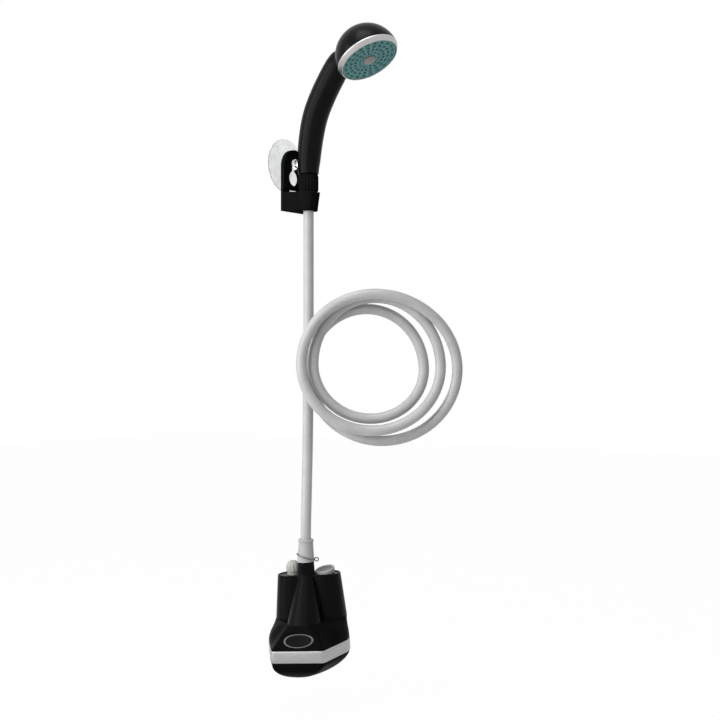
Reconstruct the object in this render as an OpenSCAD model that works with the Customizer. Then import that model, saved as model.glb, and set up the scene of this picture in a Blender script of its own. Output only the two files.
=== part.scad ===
// Camp shower pump: a submersible pump hangs on a coiled hose from a hand shower,
// and the hand shower stands in a bracket that a suction cup holds on a wall.
// Origin at the centre of the cup's wall face, +Z up, the wall on the +Y side.

/* [Suction cup] */
// Diameter of the rim on the wall
cup_d = 66; // [56:1:76]
// Thickness of the rim
cup_rim_t = 1.6; // [1.2:0.2:2.4]
// Diameter of the crown behind the bracket
cup_crown_d = 18; // [15:1:22]
// Diameter of the stem in the keyhole
stem_d = 8; // [6:0.5:8.5]
// Diameter of the knob in front of the bracket
knob_d = 13; // [11.5:0.5:16]
// Length of the knob
knob_h = 6; // [5:0.5:8]

/* [Bracket] */
// Distance from the wall to the back of the plate
plate_stand = 11; // [9:0.5:13]
// Width of the plate
plate_w = 43; // [38:1:48]
// Thickness of the plate
plate_t = 3.8; // [3:0.2:4.6]
// Height of the plate's top above the knob
plate_rise = 17.7; // [15:0.5:21]
// Height of the raised border on the plate
border_h = 1.2; // [0.8:0.2:1.8]
// Width of the raised border
border_w = 3; // [2:0.5:4]
// Width of the keyhole's upper slot
slot_w = 10; // [9.5:0.5:11]
// Diameter of the keyhole's entry hole
entry_d = 19; // [17:0.5:21]
// Distance between the slot's end and the entry hole
hang_travel = 17; // [15:0.5:19]
// Distance from the wall to the hose's axis
axis_out = 37; // [34:1:42]
// Height of the socket for the nut
socket_h = 23; // [20:0.5:26]
// Wall of the socket
socket_wall = 2.4; // [2:0.2:3.2]

/* [Hose nut] */
// Drop from the knob to the top of the nut
nut_drop = 14.6; // [12:0.2:18]
// Diameter of the ribbed collar
nut_d = 24.4; // [23.6:0.2:27]
// Height of the ribbed collar
collar_h = 20.8; // [18:0.2:24]
// Diameter at the cone's wide end
cone_d = 22.8; // [22:0.2:24]
// Diameter at the cone's tip
tip_d = 17; // [16:0.2:19]
// Height of the cone
cone_h = 23.4; // [21:0.2:27]
// Diameter of the bore for the handle's thread
thread_d = 20; // [18:0.2:20.6]
// Number of ribs round the collar
rib_count = 20; // [12:1:28]

/* [Hose] */
// Outer diameter of the hose
hose_d = 12.8; // [11:0.2:13.4]
// Loops in the coil
coil_loops = 3; // [3:1:3]

/* [Hand shower] */
// Diameter of the handle's grip
handle_d = 31.5; // [28:0.5:32]
// Diameter of the handle at the nut
handle_foot_d = 25; // [24:0.5:27]
// Diameter of the water way
water_d = 9; // [7:0.5:11]
// Diameter of the head
head_d = 76.4; // [68:0.4:82]
// Height of the trim ring
ring_h = 7; // [6.6:0.2:9]
// Height of the domed back above the ring
dome_h = 38; // [34:0.5:38]
// Wall of the domed back
dome_wall = 2.5; // [2:0.1:3.2]
// Width of the trim ring round the spray plate
ring_w = 3.7; // [3:0.1:5]
// Thickness of the spray plate
spray_t = 3.8; // [3:0.2:4.6]
// Diameter of a nozzle at its root
nozzle_d = 2.8; // [2.2:0.1:3.2]
// Diameter of the plain cap in the middle of the face
face_cap_d = 15; // [12:0.5:18]
// Tilt of the face from straight down
face_tilt = 30.5; // [27:0.5:33]

/* [Pump] */
// Half width of the flat front at the band
front_half = 30; // [28:0.5:33]
// Distance from the outlet to the flat front
front_out = 65; // [61:1:69]
// Half width of the base at its widest
base_half = 48.5; // [47:0.5:52]
// Distance from the outlet to the back of the base
base_back = 38; // [36:1:42]
// Wall of the pump's shells
pump_wall = 2.5; // [2:0.1:3]
// Diameter of a battery chamber at its top
chamber_d = 38; // [37:0.5:40]
// Diameter of a battery cell
cell_d = 34.2; // [33:0.1:34.4]
// Length of a battery cell
cell_l = 61.5; // [58:0.5:62]
// Distance from the outlet down to the chamber tops
top_drop = 17; // [15:0.5:18]
// Distance from the outlet down to the waist
waist_drop = 67.5; // [66:0.5:69]
// Distance from the outlet down to the band
band_drop = 91; // [90:0.5:95]
// Height of the band
band_h = 15; // [13:0.5:17]
// Depth of the domed base below the band
dome_drop = 26; // [25:0.5:30]
// How far the lowest part of the base lies to the left of the neck
low_side = 9; // [0:0.5:10]
// How far the lowest part of the base lies in front of the neck
low_front = 18; // [8:0.5:20]
// Diameter of the neck
neck_d = 20; // [19:0.5:23]
// Lean of the hanging pump, seen from the front left
pump_lean = 3.3; // [0:0.1:6]
// Diameter of the push button
button_d = 14.6; // [12:0.2:16]
// Travel of the push button
button_travel = 2.5; // [1.5:0.25:3]
// Diameter of the charging cover
cover_d = 24; // [21:0.5:26]
// Thickness of the charging cover
cover_t = 6; // [5:0.25:7]
// Diameter of the motor
motor_d = 24; // [22:0.5:26]
// Diameter of the impeller
impeller_d = 34; // [30:0.5:35]
// Diameter of the motor shaft
shaft_d = 3; // [2:0.2:4]

/* [Fits] */
// Gap between pieces that move past each other
gap = 0.3; // [0.2:0.05:0.4]
// Radial clearance of a running fit
run = 0.05; // [0.02:0.01:0.1]

/* [Hidden] */

$fn = 64;
hull_fn = 32;

// Directions of the view that the coil and the pump face: to the right and towards the viewer
view_right = [0.588, -0.809, 0];
view_near = [-0.809, -0.588, 0];
black = "#1c1c1e";
grey = "#b4b4b2";
steel = "#c8c8c4";
axis = [0, -axis_out, 0];

// Heights of the nut and the socket
nut_top = -nut_drop;
collar_foot = nut_top - collar_h;
socket_top = collar_foot - gap;
socket_foot = socket_top - socket_h;
tip_z = collar_foot - cone_h;

// Washer, hose tail and thread inside the nut
flange_t = 2;
washer_t = 2;
flange_d = thread_d - 0.8;
tail_seat = collar_foot - 0.6;
thread_foot = tail_seat + flange_t + washer_t + 0.2;

// Sweeps a round tube of the given radii along points, with its seam kept towards ref
function unit(v) = v / norm(v);
function way(p, i) = unit(p[min(i + 1, len(p) - 1)] - p[max(i - 1, 0)]);
function ring_points(p, r, i, ref, sides) =
  let (t = way(p, i), u = unit(cross(t, ref)), v = cross(t, u))
  [for (j = [0:sides - 1]) p[i] + r[i] * (cos(360 * j / sides) * u + sin(360 * j / sides) * v)];
module sweep(p, r, ref, sides) {
  last = (len(p) - 1) * sides;
  points = [for (i = [0:len(p) - 1]) each ring_points(p, r, i, ref, sides)];
  start = [for (j = [1:sides - 2]) [0, j, j + 1]];
  finish = [for (j = [1:sides - 2]) [last, last + j + 1, last + j]];
  walls = [for (i = [0:len(p) - 2], j = [0:sides - 1])
    let (a = i * sides + j, b = i * sides + (j + 1) % sides)
    each [[a, b + sides, b], [a, a + sides, b + sides]]];
  polyhedron(points=points, faces=concat(start, walls, finish));
}
function same(p, r) = [for (q = p) r];

module on_axis(z) {
  translate(axis + [0, 0, z]) children();
}

// The suction cup, pressed flat on the wall, with its stem and knob
crown_h = plate_stand - gap;
knob_z = plate_stand + plate_t + gap;
cup_steps = 8;
module suction_cup() {
  rim = cup_d / 2;
  crown = cup_crown_d / 2;
  dish = [for (i = [0:cup_steps])
    let (t = i / cup_steps) [rim + (crown - rim) * t, cup_rim_t + (crown_h - cup_rim_t) * t * t]];
  bulge = [for (a = [0:15:90]) [knob_d / 2 * cos(a), knob_z + knob_h / 2 + knob_h / 2 * sin(a)]];
  color("#e6e9ea", 0.6) rotate([90, 0, 0]) rotate_extrude()
    polygon(concat([[0, 0], [rim, 0]], dish,
      [[stem_d / 2, crown_h], [stem_d / 2, knob_z], [knob_d / 2, knob_z]], bulge));
}

// The bracket: a keyhole plate with a raised border and a slotted socket for the nut
slit_w = 18;
slit_h = 3;
arch_z = plate_rise - plate_w / 2;
module plate_outline(inset, foot) {
  translate([0, arch_z]) circle(d=plate_w - 2 * inset);
  translate([inset - plate_w / 2, foot]) square([plate_w - 2 * inset, arch_z - foot]);
}
module facing_wall(y, t) {
  rotate([90, 0, 0]) translate([0, 0, y]) linear_extrude(t) children();
}
module bracket() {
  reach = cone_d / 2 + gap + socket_wall;
  foot_reach = tip_d / 2 + gap + socket_wall;
  recess_foot = socket_top + slit_h + 2 * border_w;
  color(black) difference() {
    union() {
      facing_wall(plate_stand, plate_t) plate_outline(0, socket_foot);
      facing_wall(plate_stand + plate_t, border_h) difference() {
        plate_outline(0, recess_foot - border_w);
        plate_outline(border_w, recess_foot);
      }
      translate([0, 0, socket_foot]) linear_extrude(socket_h) polygon([
        [-plate_w / 2, -plate_stand - plate_t], [plate_w / 2, -plate_stand - plate_t],
        [foot_reach, -axis_out + 4], [-foot_reach, -axis_out + 4]]);
      on_axis(socket_foot) cylinder(r1=foot_reach, r2=reach, h=socket_h);
    }
    facing_wall(plate_stand - 1, plate_t + 2) {
      circle(d=slot_w);
      translate([0, -hang_travel]) circle(d=entry_d);
      translate([-stem_d / 2 - gap, -hang_travel]) square([stem_d + 2 * gap, hang_travel]);
      translate([-slit_w / 2, socket_top + 1]) square([slit_w, slit_h]);
    }
    on_axis(tip_z) cylinder(r1=tip_d / 2 + gap, r2=cone_d / 2 + gap, h=cone_h);
    on_axis(socket_top - gap) cylinder(d=cone_d + 2 * gap, h=2);
    on_axis(socket_foot - 1) translate([-hose_d / 2 - 2 * gap, -axis_out, 0])
      cube([hose_d + 4 * gap, axis_out, socket_h + 2]);
  }
}

// The ribbed nut with its cone
rib_r = 1;
module hose_nut() {
  color(black) difference() {
    union() {
      on_axis(collar_foot) cylinder(d=nut_d - 2 * rib_r + 0.8, h=collar_h);
      on_axis(collar_foot) for (i = [0:rib_count - 1]) rotate([0, 0, 360 * i / rib_count])
        translate([nut_d / 2 - rib_r, 0, 1.5]) cylinder(r=rib_r, h=collar_h - 3, $fn=24);
      on_axis(tip_z) cylinder(d1=tip_d, d2=cone_d, h=cone_h);
    }
    on_axis(tail_seat) cylinder(d=thread_d, h=collar_h + 5);
    on_axis(tip_z - 1) cylinder(d=hose_d + 0.4, h=cone_h + 2);
  }
}
module hose_tail() {
  color(grey) difference() {
    union() {
      on_axis(tip_z) cylinder(d=hose_d, h=tail_seat - tip_z);
      on_axis(tail_seat) cylinder(d=flange_d, h=flange_t);
    }
    on_axis(tip_z - 1) cylinder(d=water_d - 2, h=cone_h + 10);
  }
}
module nut_washer() {
  color("#303030") on_axis(tail_seat + flange_t) difference() {
    cylinder(d=flange_d, h=washer_t);
    translate([0, 0, -1]) cylinder(d=water_d, h=washer_t + 2);
  }
}

// The handle's centre line, as distance out from the hose's axis and height over the nut
handle_line = [[0, gap], [0, 9.5], [0.7, 17.5], [2, 30.5], [4.5, 46.5], [8.5, 63.5], [14, 78],
  [21.5, 92], [29, 104], [37, 115.5], [45, 126.5], [50, 133], [55, 138]];
neck_taper = [0.93, 0.66];
neck_seam = 0.15;
handle_path = [for (q = handle_line) axis + [0, -q[0], q[1] + nut_top]];
grip_at = 7;
neck_from = len(handle_line) - len(neck_taper);
function grip(i) = let (t = min(i / grip_at, 1))
  (handle_foot_d + (handle_d - handle_foot_d) * t * (2 - t))
  * (i < neck_from ? 1 : neck_taper[i - neck_from]);
handle_radii = [for (i = [0:len(handle_line) - 1]) grip(i) / 2];
module handle() {
  spigot_h = nut_top + gap - thread_foot;
  water_path = concat([axis + [0, 0, thread_foot - 1]], handle_path);
  color(black) difference() {
    union() {
      sweep(handle_path, handle_radii, [1, 0, 0], 28);
      on_axis(thread_foot) cylinder(d=thread_d - 2 * run, h=spigot_h + 1);
    }
    head_place() translate([0, 0, dome_z]) sphere(r=dome_r + neck_seam);
    head_place() translate([0, 0, -1]) cylinder(d=head_d + 2 * neck_seam, h=ring_h + 1 + neck_seam);
    sweep(water_path, same(water_path, water_d / 2), [1, 0, 0], 16);
  }
}

// The head, with its own frame: face at z = 0, domed back upwards, handle on the +Y side
face_out = 91.9;
face_rise = 125.9;
face_z = nut_top + face_rise;
dome_r = (head_d * head_d / 4 + dome_h * dome_h) / (2 * dome_h);
dome_z = ring_h + dome_h - dome_r;
spray_d = head_d - 2 * ring_w;
spray_z = 1.2;
mat_z = spray_z + spray_t;
mat_t = 1.5;
boss_d = 10;
screw_d = 3;
screw_head_d = 7.2;
screw_l = 16;
seal_r = 1.1;
ring_fit = 0.2;
ring_rim = 1.8;
lip_r = 0.6;
seal_fit = 0.05;
seal_over = ring_h + seal_r - dome_z;
seal_mid = sqrt(pow(dome_r - dome_wall - seal_r - seal_fit, 2) - seal_over * seal_over);
neck_end = handle_path[len(handle_path) - 1];
neck_before = handle_path[len(handle_path) - 2];
inlet_path = [2 * neck_before - neck_end, neck_before, neck_end, 2 * neck_end - neck_before];
module head_place() {
  translate(axis + [0, -face_out, face_z]) rotate([-face_tilt, 0, 0]) children();
}
module head_shell() {
  color(black) difference() {
    head_place() difference() {
      union() {
        difference() {
          intersection() {
            translate([0, 0, dome_z]) sphere(r=dome_r);
            translate([0, 0, ring_h]) cylinder(d=head_d, h=dome_h + 2);
          }
          translate([0, 0, dome_z]) sphere(r=dome_r - dome_wall);
        }
        translate([0, 0, mat_z]) cylinder(d=boss_d, h=ring_h + dome_h - dome_wall / 2 - mat_z);
      }
      translate([0, 0, mat_z - 1]) cylinder(d=screw_d + 2 * run, h=screw_l);
    }
    sweep(inlet_path, same(inlet_path, water_d / 2), [1, 0, 0], 16);
  }
}
module trim_ring() {
  outer = head_d / 2;
  inner = spray_d / 2 + ring_fit;
  lip = [for (a = [180:15:300]) [inner + lip_r + lip_r * cos(a), lip_r + lip_r * sin(a)]];
  color(steel) head_place() rotate_extrude()
    polygon(concat([[inner, ring_h]], lip, [[outer, ring_h - ring_rim], [outer, ring_h]]));
}
module head_seal() {
  color("#303030") head_place() translate([0, 0, ring_h + seal_r]) rotate_extrude()
    translate([seal_mid, 0]) circle(r=seal_r, $fn=24);
}

// Rings of nozzles: radius of each ring as a share of the plate, and its count
nozzle_rings = [[0.36, 10], [0.53, 20], [0.7, 20], [0.87, 20]];
module at_nozzles() {
  for (q = nozzle_rings, i = [0:q[1] - 1])
    rotate([0, 0, 360 * i / q[1]]) translate([q[0] * spray_d / 2, 0, 0]) children();
}
module spray_plate() {
  color("#3f9c9a") head_place() difference() {
    translate([0, 0, spray_z]) cylinder(d=spray_d, h=spray_t);
    translate([0, 0, spray_z - 1]) cylinder(d=screw_d + 0.8, h=spray_t + 2);
    translate([0, 0, spray_z - 1]) cylinder(d=screw_head_d + 0.6, h=3);
    at_nozzles() translate([0, 0, spray_z - 1]) cylinder(d=nozzle_d + 0.4, h=spray_t + 2, $fn=24);
  }
}
module nozzle_mat() {
  nozzle_tip = spray_z - 1;
  color("#1f6f70") head_place() difference() {
    union() {
      translate([0, 0, mat_z]) cylinder(d=spray_d - 2, h=mat_t);
      at_nozzles() translate([0, 0, nozzle_tip])
        cylinder(d1=nozzle_d - 0.8, d2=nozzle_d, h=mat_z + 0.5 - nozzle_tip, $fn=24);
    }
    translate([0, 0, mat_z - 1]) cylinder(d=boss_d + 1, h=mat_t + 2);
  }
}
module centre_cap() {
  cap_t = 1.8;
  color("#8d8583") head_place() translate([0, 0, spray_z - cap_t]) cylinder(d=face_cap_d, h=cap_t);
}
module face_screw() {
  color(steel) head_place() {
    translate([0, 0, spray_z + 0.3]) cylinder(d=screw_head_d, h=1.7);
    translate([0, 0, spray_z + 1]) cylinder(d=screw_d, h=screw_l - 3);
  }
}

// The hose. Its coil lies across the view: three loops that share their left side, each one
// smaller than the last. Depths give the distance towards the viewer at every quarter turn.
ring_step = 24;
coil_wide = 101;
coil_step = 14.2;
coil_low = 95;
coil_low_step = 13.75;
coil_top = 84.7;
coil_z = -246.6;
side_shift = 6.9;
coil_depth = [0, 13, 28, 38, 38, 36, 27, 22, 26.5, 24, 17, 11, 14.5];
function on_view(s, d, z) = axis + s * view_right + d * view_near + [0, 0, z];
function eased(a, b, t) = a + (b - a) * (1 - cos(180 * t)) / 2;
function depth(k) =
  let (i = min(floor(4 * k), len(coil_depth) - 2)) eased(coil_depth[i], coil_depth[i + 1], 4 * k - i);
function side(k) = -side_shift * k * (k - 1.5) * (k - 3);
function rise(k) = coil_top - 3.6 * (k - 0.75) - 4.8 * (k - 0.75) * (k - 1.75);
function fall(k) = sin(360 * k) > 0 ? coil_low - coil_low_step * k : rise(k);
function coil_at(k) = on_view(side(k) + (coil_wide - coil_step * k) * (1 - cos(360 * k)),
  depth(k), coil_z - fall(k) * sin(360 * k));
coil_turns = [for (i = [0:ring_step * coil_loops]) coil_at(i / ring_step)];
coil_end = coil_depth[len(coil_depth) - 1];
coil_path = concat([on_view(0, 0, coil_z + hose_d)], coil_turns,
  [on_view(0, coil_end, coil_z - hose_d)]);
near_rings = 8;
function gaps_to_self(p) = [for (i = [0:len(p) - 1], j = [i + near_rings:1:len(p) - 1]) norm(p[i] - p[j])];
echo(coil_gap=min(gaps_to_self(coil_path)) - hose_d);

neck_z = -482.2;
pump_side = -2.2;
pump_near = 24;
sleeve_h = 27;
sleeve_top = neck_z + sleeve_h;
upper_z = [tip_z, -90, -120, -150, -180, -208, coil_z + hose_d];
lower_route = [[coil_end, coil_z - hose_d], [coil_end, -285], [15.2, -310], [16.6, -335], [18.3, -360],
  [20.1, -385], [21.9, -410], [23.2, -430], [pump_near, -444], [pump_near, sleeve_top]];
lower_side = [0, 0, 0, -0.2, -0.6, -1.1, -1.6, -2, pump_side, pump_side];
upper_path = [for (z = upper_z) on_view(0, 0, z)];
lower_path = [for (i = [0:len(lower_route) - 1])
  on_view(lower_side[i], lower_route[i][0], lower_route[i][1])];
module hose_tube(p, sides) {
  color("#c9cac8") sweep(p, same(p, hose_d / 2), view_near, sides);
}
module hose_upper() {
  hose_tube(upper_path, 12);
}
module hose_coil() {
  hose_tube(coil_path, 6);
}
module hose_lower() {
  hose_tube(lower_path, 12);
}

// The pump, with its own frame: outlet at the origin, front towards -Y, +Z up the outlet
pump_yaw = -65;
module on_neck(z) {
  translate(on_view(pump_side, pump_near, z)) children();
}
module pump_place() {
  on_neck(neck_z) rotate(a=pump_lean, v=view_near) rotate([0, 0, pump_yaw]) children();
}
cell_x = 19.6;
cell_y = 13;
motor_y = -19;
module at_cells() {
  for (x = [-cell_x, cell_x]) translate([x, cell_y, 0]) children();
}
module down(z) {
  translate([0, 0, -z]) children();
}

// Sleeve over the hose's end, cut along the leaning neck, with its wire clip
sleeve_d = 20.6;
sleeve_top_d = 17.2;
sleeve_under = 4;
step_out = 0.7;
step_h = 3;
spigot_d = 8.8;
spigot_h = 16;
tube_d = 9.2;
tube_fit = 0.4;
sleeve_taper_h = sleeve_h + sleeve_under - step_h;
function sleeve_d_at(z) = sleeve_d
  + (sleeve_top_d - 2 * step_out - sleeve_d) * (z + sleeve_under) / sleeve_taper_h;
module hose_sleeve() {
  color(grey) difference() {
    on_neck(neck_z - sleeve_under) {
      cylinder(d1=sleeve_d, d2=sleeve_top_d - 2 * step_out, h=sleeve_taper_h);
      translate([0, 0, sleeve_taper_h]) cylinder(d=sleeve_top_d, h=step_h);
    }
    pump_place() down(40) cylinder(d=60, h=40);
    pump_place() cylinder(d=spigot_d + tube_fit, h=spigot_h + tube_fit);
    on_neck(neck_z) cylinder(d=spigot_d - 2, h=sleeve_h + 1);
  }
}
wire_d = 1.4;
clip_lift = 6;
module hose_clip() {
  ring = sleeve_d_at(clip_lift) / 2 + wire_d / 2 + 0.2;
  ear = 2.6;
  color("#6a6a6a") on_neck(neck_z + clip_lift) {
    rotate_extrude() translate([ring, 0]) circle(d=wire_d, $fn=20);
    translate((ring + ear) * view_right) rotate([90, 0, 0]) rotate_extrude()
      translate([ear, 0]) circle(d=wire_d, $fn=20);
  }
}
module outlet_spigot() {
  flange = 3;
  color(black) pump_place() difference() {
    union() {
      down(flange) cylinder(d=neck_d - 4, h=flange);
      cylinder(d=spigot_d - 0.8, h=spigot_h);
      for (z = [3, 8]) translate([0, 0, z]) cylinder(d1=spigot_d, d2=spigot_d - 0.8, h=4);
    }
    down(flange + 1) cylinder(d=spigot_d - 3, h=spigot_h + flange + 2);
  }
}

// Upper housing: two battery chambers behind a cone that runs down from the neck
cone_front = 44;
cone_r = 20;
chamber_foot_d = 47.5;
gasket_t = 0.8;
deck_top = band_drop + gasket_t;
spring_h = 2;
strip_t = 0.6;
cell_play = 0.4;
cell_fit = 0.8;
block_back = 27;
bore_top = deck_top - strip_t - spring_h - cell_l - cell_play;
hinge_y = cell_y + cover_d / 2 + 2.5;
hinge_z = top_drop - gap - cover_t / 2;
pin_d = 2;
ear_t = 3;
tab_w = 8;
switch_pocket = bore_top - top_drop - 1.4;
module pump_housing() {
  color(black) pump_place() difference() {
    union() {
      down(waist_drop) at_cells() cylinder(d1=chamber_foot_d, d2=chamber_d, h=waist_drop - top_drop);
      hull() {
        down(waist_drop) translate([0, cone_r - cone_front, 0]) cylinder(r=cone_r, h=0.2, $fn=hull_fn);
        down(top_drop - 2) cylinder(d=neck_d, h=0.2, $fn=hull_fn);
      }
      down(waist_drop) translate([-cell_x, 0, 0]) cube([2 * cell_x, block_back, waist_drop - top_drop]);
      down(top_drop) cylinder(d=neck_d, h=top_drop);
      for (side = [-1, 1]) translate([cell_x + side * (tab_w + ear_t + 2 * gap) / 2, hinge_y, 0])
        down(top_drop + 1) translate([-ear_t / 2, -2, 0]) cube([ear_t, 4, top_drop - hinge_z + 3]);
    }
    down(waist_drop + 1) at_cells() cylinder(d=cell_d + cell_fit, h=waist_drop + 1 - bore_top);
    down(waist_drop + 1) cylinder(d=tube_d + tube_fit, h=waist_drop + 2);
    down(3) cylinder(d=neck_d - 4 + 0.2, h=4);
    translate([-cell_x, cell_y, 0]) down(top_drop + switch_pocket) cylinder(d=button_d + 2 * gap, h=20);
    translate([cell_x, cell_y, 0]) down(top_drop + switch_pocket) cylinder(d=socket_d, h=20);
    translate([0, hinge_y, 0]) down(hinge_z) rotate([0, 90, 0]) cylinder(d=pin_d, h=60);
  }
}

// Plan of the base: a flat front with cut corners, straight sides and a round back
side_y = -5;
corner = 4;
base_y = -14;
function base_plan(i) = concat(
  [[corner + i - front_half, i - front_out], [front_half - i - corner, i - front_out],
   [front_half - i + 0.2 * corner, i - front_out + corner]],
  [for (a = [0:12:180]) [(base_half - i) * cos(a), side_y + (base_back - side_y - i) * sin(a)]],
  [[i - front_half - 0.2 * corner, i - front_out + corner]]);
module plan(i, drop, h) {
  down(drop) linear_extrude(h) polygon(base_plan(i));
}
shoulder_drop = 11;
shoulder = 7;
skin = 0.2;
module hull_form(i) {
  hull() {
    down(waist_drop + i + skin) translate([0, cone_r - cone_front, 0])
      cylinder(r=cone_r - i, h=skin, $fn=hull_fn);
    down(waist_drop + i + skin) at_cells() cylinder(d=chamber_foot_d - 2 * i, h=skin, $fn=hull_fn);
    down(waist_drop + shoulder_drop) at_cells()
      cylinder(d=chamber_foot_d + shoulder - 2 * i, h=skin, $fn=hull_fn);
    plan(i, band_drop, skin);
  }
}
badge_w = 36;
badge_h = 18;
badge_t = 1.4;
badge_share = 0.62;
module badge_form(grow) {
  run_out = front_out - cone_front;
  fall_z = band_drop - waist_drop;
  lean = atan2(fall_z, run_out);
  down(waist_drop + badge_share * fall_z) translate([0, -cone_front - badge_share * run_out, 0])
    rotate([lean, 0, 0])
    translate([0, 0, -badge_t / 2]) linear_extrude(badge_t + grow) union() {
      for (x = [-1, 1]) translate([x * (badge_w - badge_h) / 2, 0]) circle(d=badge_h + 2 * grow);
      square([badge_w - badge_h, badge_h + 2 * grow], center=true);
    }
}
module lower_hull() {
  color(black) pump_place() difference() {
    hull_form(0);
    hull_form(pump_wall);
    plan(pump_wall, band_drop + 1, 2);
    down(waist_drop + 4) at_cells() cylinder(d=cell_d + cell_fit, h=6);
    down(waist_drop + 4) cylinder(d=tube_d + tube_fit, h=6);
    badge_form(0.1);
  }
}
module badge() {
  color("#26262a") pump_place() badge_form(0);
}
module hull_gasket() {
  color("#303030") pump_place() difference() {
    plan(0.6, band_drop + gasket_t, gasket_t);
    plan(pump_wall, band_drop + 2, 3);
  }
}
module trim_band() {
  color(steel) pump_place() difference() {
    plan(0, band_drop + band_h, band_h - gasket_t);
    plan(pump_wall, band_drop + band_h + 1, band_h + 2);
  }
}

// The deck inside the band carries the motor, the cells and the volute
deck_t = 3;
deck_foot = deck_top + deck_t;
screw_spots = [for (s = [-1, 1])
  each [[s * (front_half - 9), 12 - front_out], [s * (base_half - 12), base_y]]];
post_d = 8;
case_screw_d = 3;
case_screw_l = 12;
module at_screws() {
  for (q = screw_spots) translate([q[0], q[1], 0]) children();
}
module pump_deck() {
  color("#3a3a3c") pump_place() difference() {
    plan(pump_wall + 0.2, deck_foot, deck_t);
    down(deck_foot + 1) cylinder(d=tube_d + tube_fit, h=deck_t + 2);
    down(deck_foot + 1) translate([0, motor_y, 0]) cylinder(d=seal_d, h=deck_t + 2);
    down(deck_foot + 1) at_screws() cylinder(d=case_screw_d + 0.6, h=deck_t + 2);
  }
}
module deck_screws() {
  color(steel) pump_place() at_screws() {
    down(deck_top) cylinder(d=6, h=2);
    down(deck_top + case_screw_l) cylinder(d=case_screw_d, h=case_screw_l + 1);
  }
}

// The domed base with its ring slots
base_top = band_drop + band_h;
slot_rings = [11, 17, 23, 29];
ring_slot = 2.4;
bar_w = 4;
// Each step has its share of the depth, its inset in mm, and its share of the way to the lowest part
dome_steps = [[0.35, 4, 0.15], [0.65, 10.5, 0.45], [0.88, 18, 0.8], [1, 24.5, 1]];
module dome_form(i) {
  hull() {
    plan(i, base_top + skin, skin);
    for (s = dome_steps) translate([-s[2] * low_side, -s[2] * low_front, 0])
      plan(i + s[1], base_top + s[0] * (dome_drop - i), skin);
  }
}
module intake_base() {
  color(black) pump_place() {
    difference() {
      dome_form(0);
      dome_form(pump_wall);
      plan(pump_wall, base_top + 1, 2);
      difference() {
        for (r = slot_rings) down(base_top + dome_drop + 1) translate([0, base_y, 0]) difference() {
          cylinder(r=r + ring_slot / 2, h=16);
          translate([0, 0, -1]) cylinder(r=r - ring_slot / 2, h=18);
        }
        for (a = [0:60:120]) down(base_top + dome_drop + 2) translate([0, base_y, 0]) rotate([0, 0, a])
          translate([-bar_w / 2, -base_half, 0]) cube([bar_w, 2 * base_half, 18]);
      }
    }
    intersection() {
      dome_form(0.5);
      down(base_top + dome_drop) at_screws() post();
    }
    at_screws() down(base_top + 0.3) post_top();
  }
}
module post() {
  cylinder(d=post_d, h=dome_drop);
}
module post_top() {
  difference() {
    cylinder(d=post_d, h=base_top + 0.3 - deck_foot);
    translate([0, 0, -1]) cylinder(d=case_screw_d + 2 * run, h=base_top);
  }
}

// Water way: volute under the deck, tube up to the spigot, cover and strainer below
seal_d = 12;
volute_h = 14;
volute_wall = 2;
volute_d = impeller_d + 4 + 2 * volute_wall;
volute_foot = deck_foot + volute_h;
module volute() {
  color("#e4e2dc") pump_place() difference() {
    union() {
      down(volute_foot) translate([0, motor_y, 0]) cylinder(d=volute_d, h=volute_h);
      down(volute_foot) cylinder(d=tube_d + 4, h=volute_h);
    }
    down(volute_foot + 1) translate([0, motor_y, 0])
      cylinder(d=volute_d - 2 * volute_wall, h=volute_h + 1 - volute_wall);
    down(deck_foot + volute_wall + 1) translate([0, motor_y, 0]) cylinder(d=shaft_d + 2, h=volute_wall + 2);
    down(deck_foot + 8) cylinder(d=tube_d - 3, h=9);
    down(deck_foot + 6) rotate([90, 0, 0]) cylinder(d=tube_d - 4, h=12);
  }
}
module outlet_tube() {
  color("#e4e2dc") pump_place() difference() {
    down(deck_foot) cylinder(d=tube_d, h=deck_foot - 3);
    down(deck_foot + 1) cylinder(d=tube_d - 3, h=deck_foot);
  }
}
cover_plate_t = 2;
module volute_cover() {
  color("#d8d6d0") pump_place() down(volute_foot + cover_plate_t) translate([0, motor_y, 0]) difference() {
    cylinder(d=volute_d, h=cover_plate_t);
    translate([0, 0, -1]) cylinder(d=impeller_d * 0.4, h=cover_plate_t + 2);
  }
}
strainer_t = 3;
module strainer() {
  color("#4a4a4a") pump_place() down(volute_foot + cover_plate_t + strainer_t)
    translate([0, motor_y, 0]) cylinder(d=volute_d + 6, h=strainer_t);
}

// Motor with its turning parts
motor_l = deck_top - waist_drop - pump_wall - skin - 1;
can_t = 0.8;
motor_foot = deck_top;
motor_top = motor_foot - motor_l;
shaft_foot = volute_foot - 2;
module at_motor(z) {
  down(z) translate([0, motor_y, 0]) children();
}
module motor_can() {
  color(steel) pump_place() difference() {
    at_motor(motor_foot) cylinder(d=motor_d, h=motor_l);
    at_motor(motor_foot - can_t) cylinder(d=motor_d - 2 * can_t, h=motor_l - 2 * can_t);
    at_motor(motor_foot + 1) cylinder(d=shaft_d + 2 * run, h=motor_l + 2);
  }
}
magnet_t = 1.8;
module motor_magnet() {
  color("#4b4640") pump_place() at_motor(motor_foot - can_t - 2) difference() {
    cylinder(d=motor_d - 2 * can_t, h=motor_l - 2 * can_t - 4);
    translate([0, 0, -1]) cylinder(d=motor_d - 2 * can_t - 2 * magnet_t, h=motor_l);
  }
}
module motor_rotor() {
  color("#8a5a34") pump_place() at_motor(motor_foot - can_t - 3) difference() {
    cylinder(d=motor_d - 2 * can_t - 2 * magnet_t - 2 * gap, h=motor_l - 2 * can_t - 6);
    translate([0, 0, -1]) cylinder(d=shaft_d, h=motor_l);
  }
}
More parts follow.
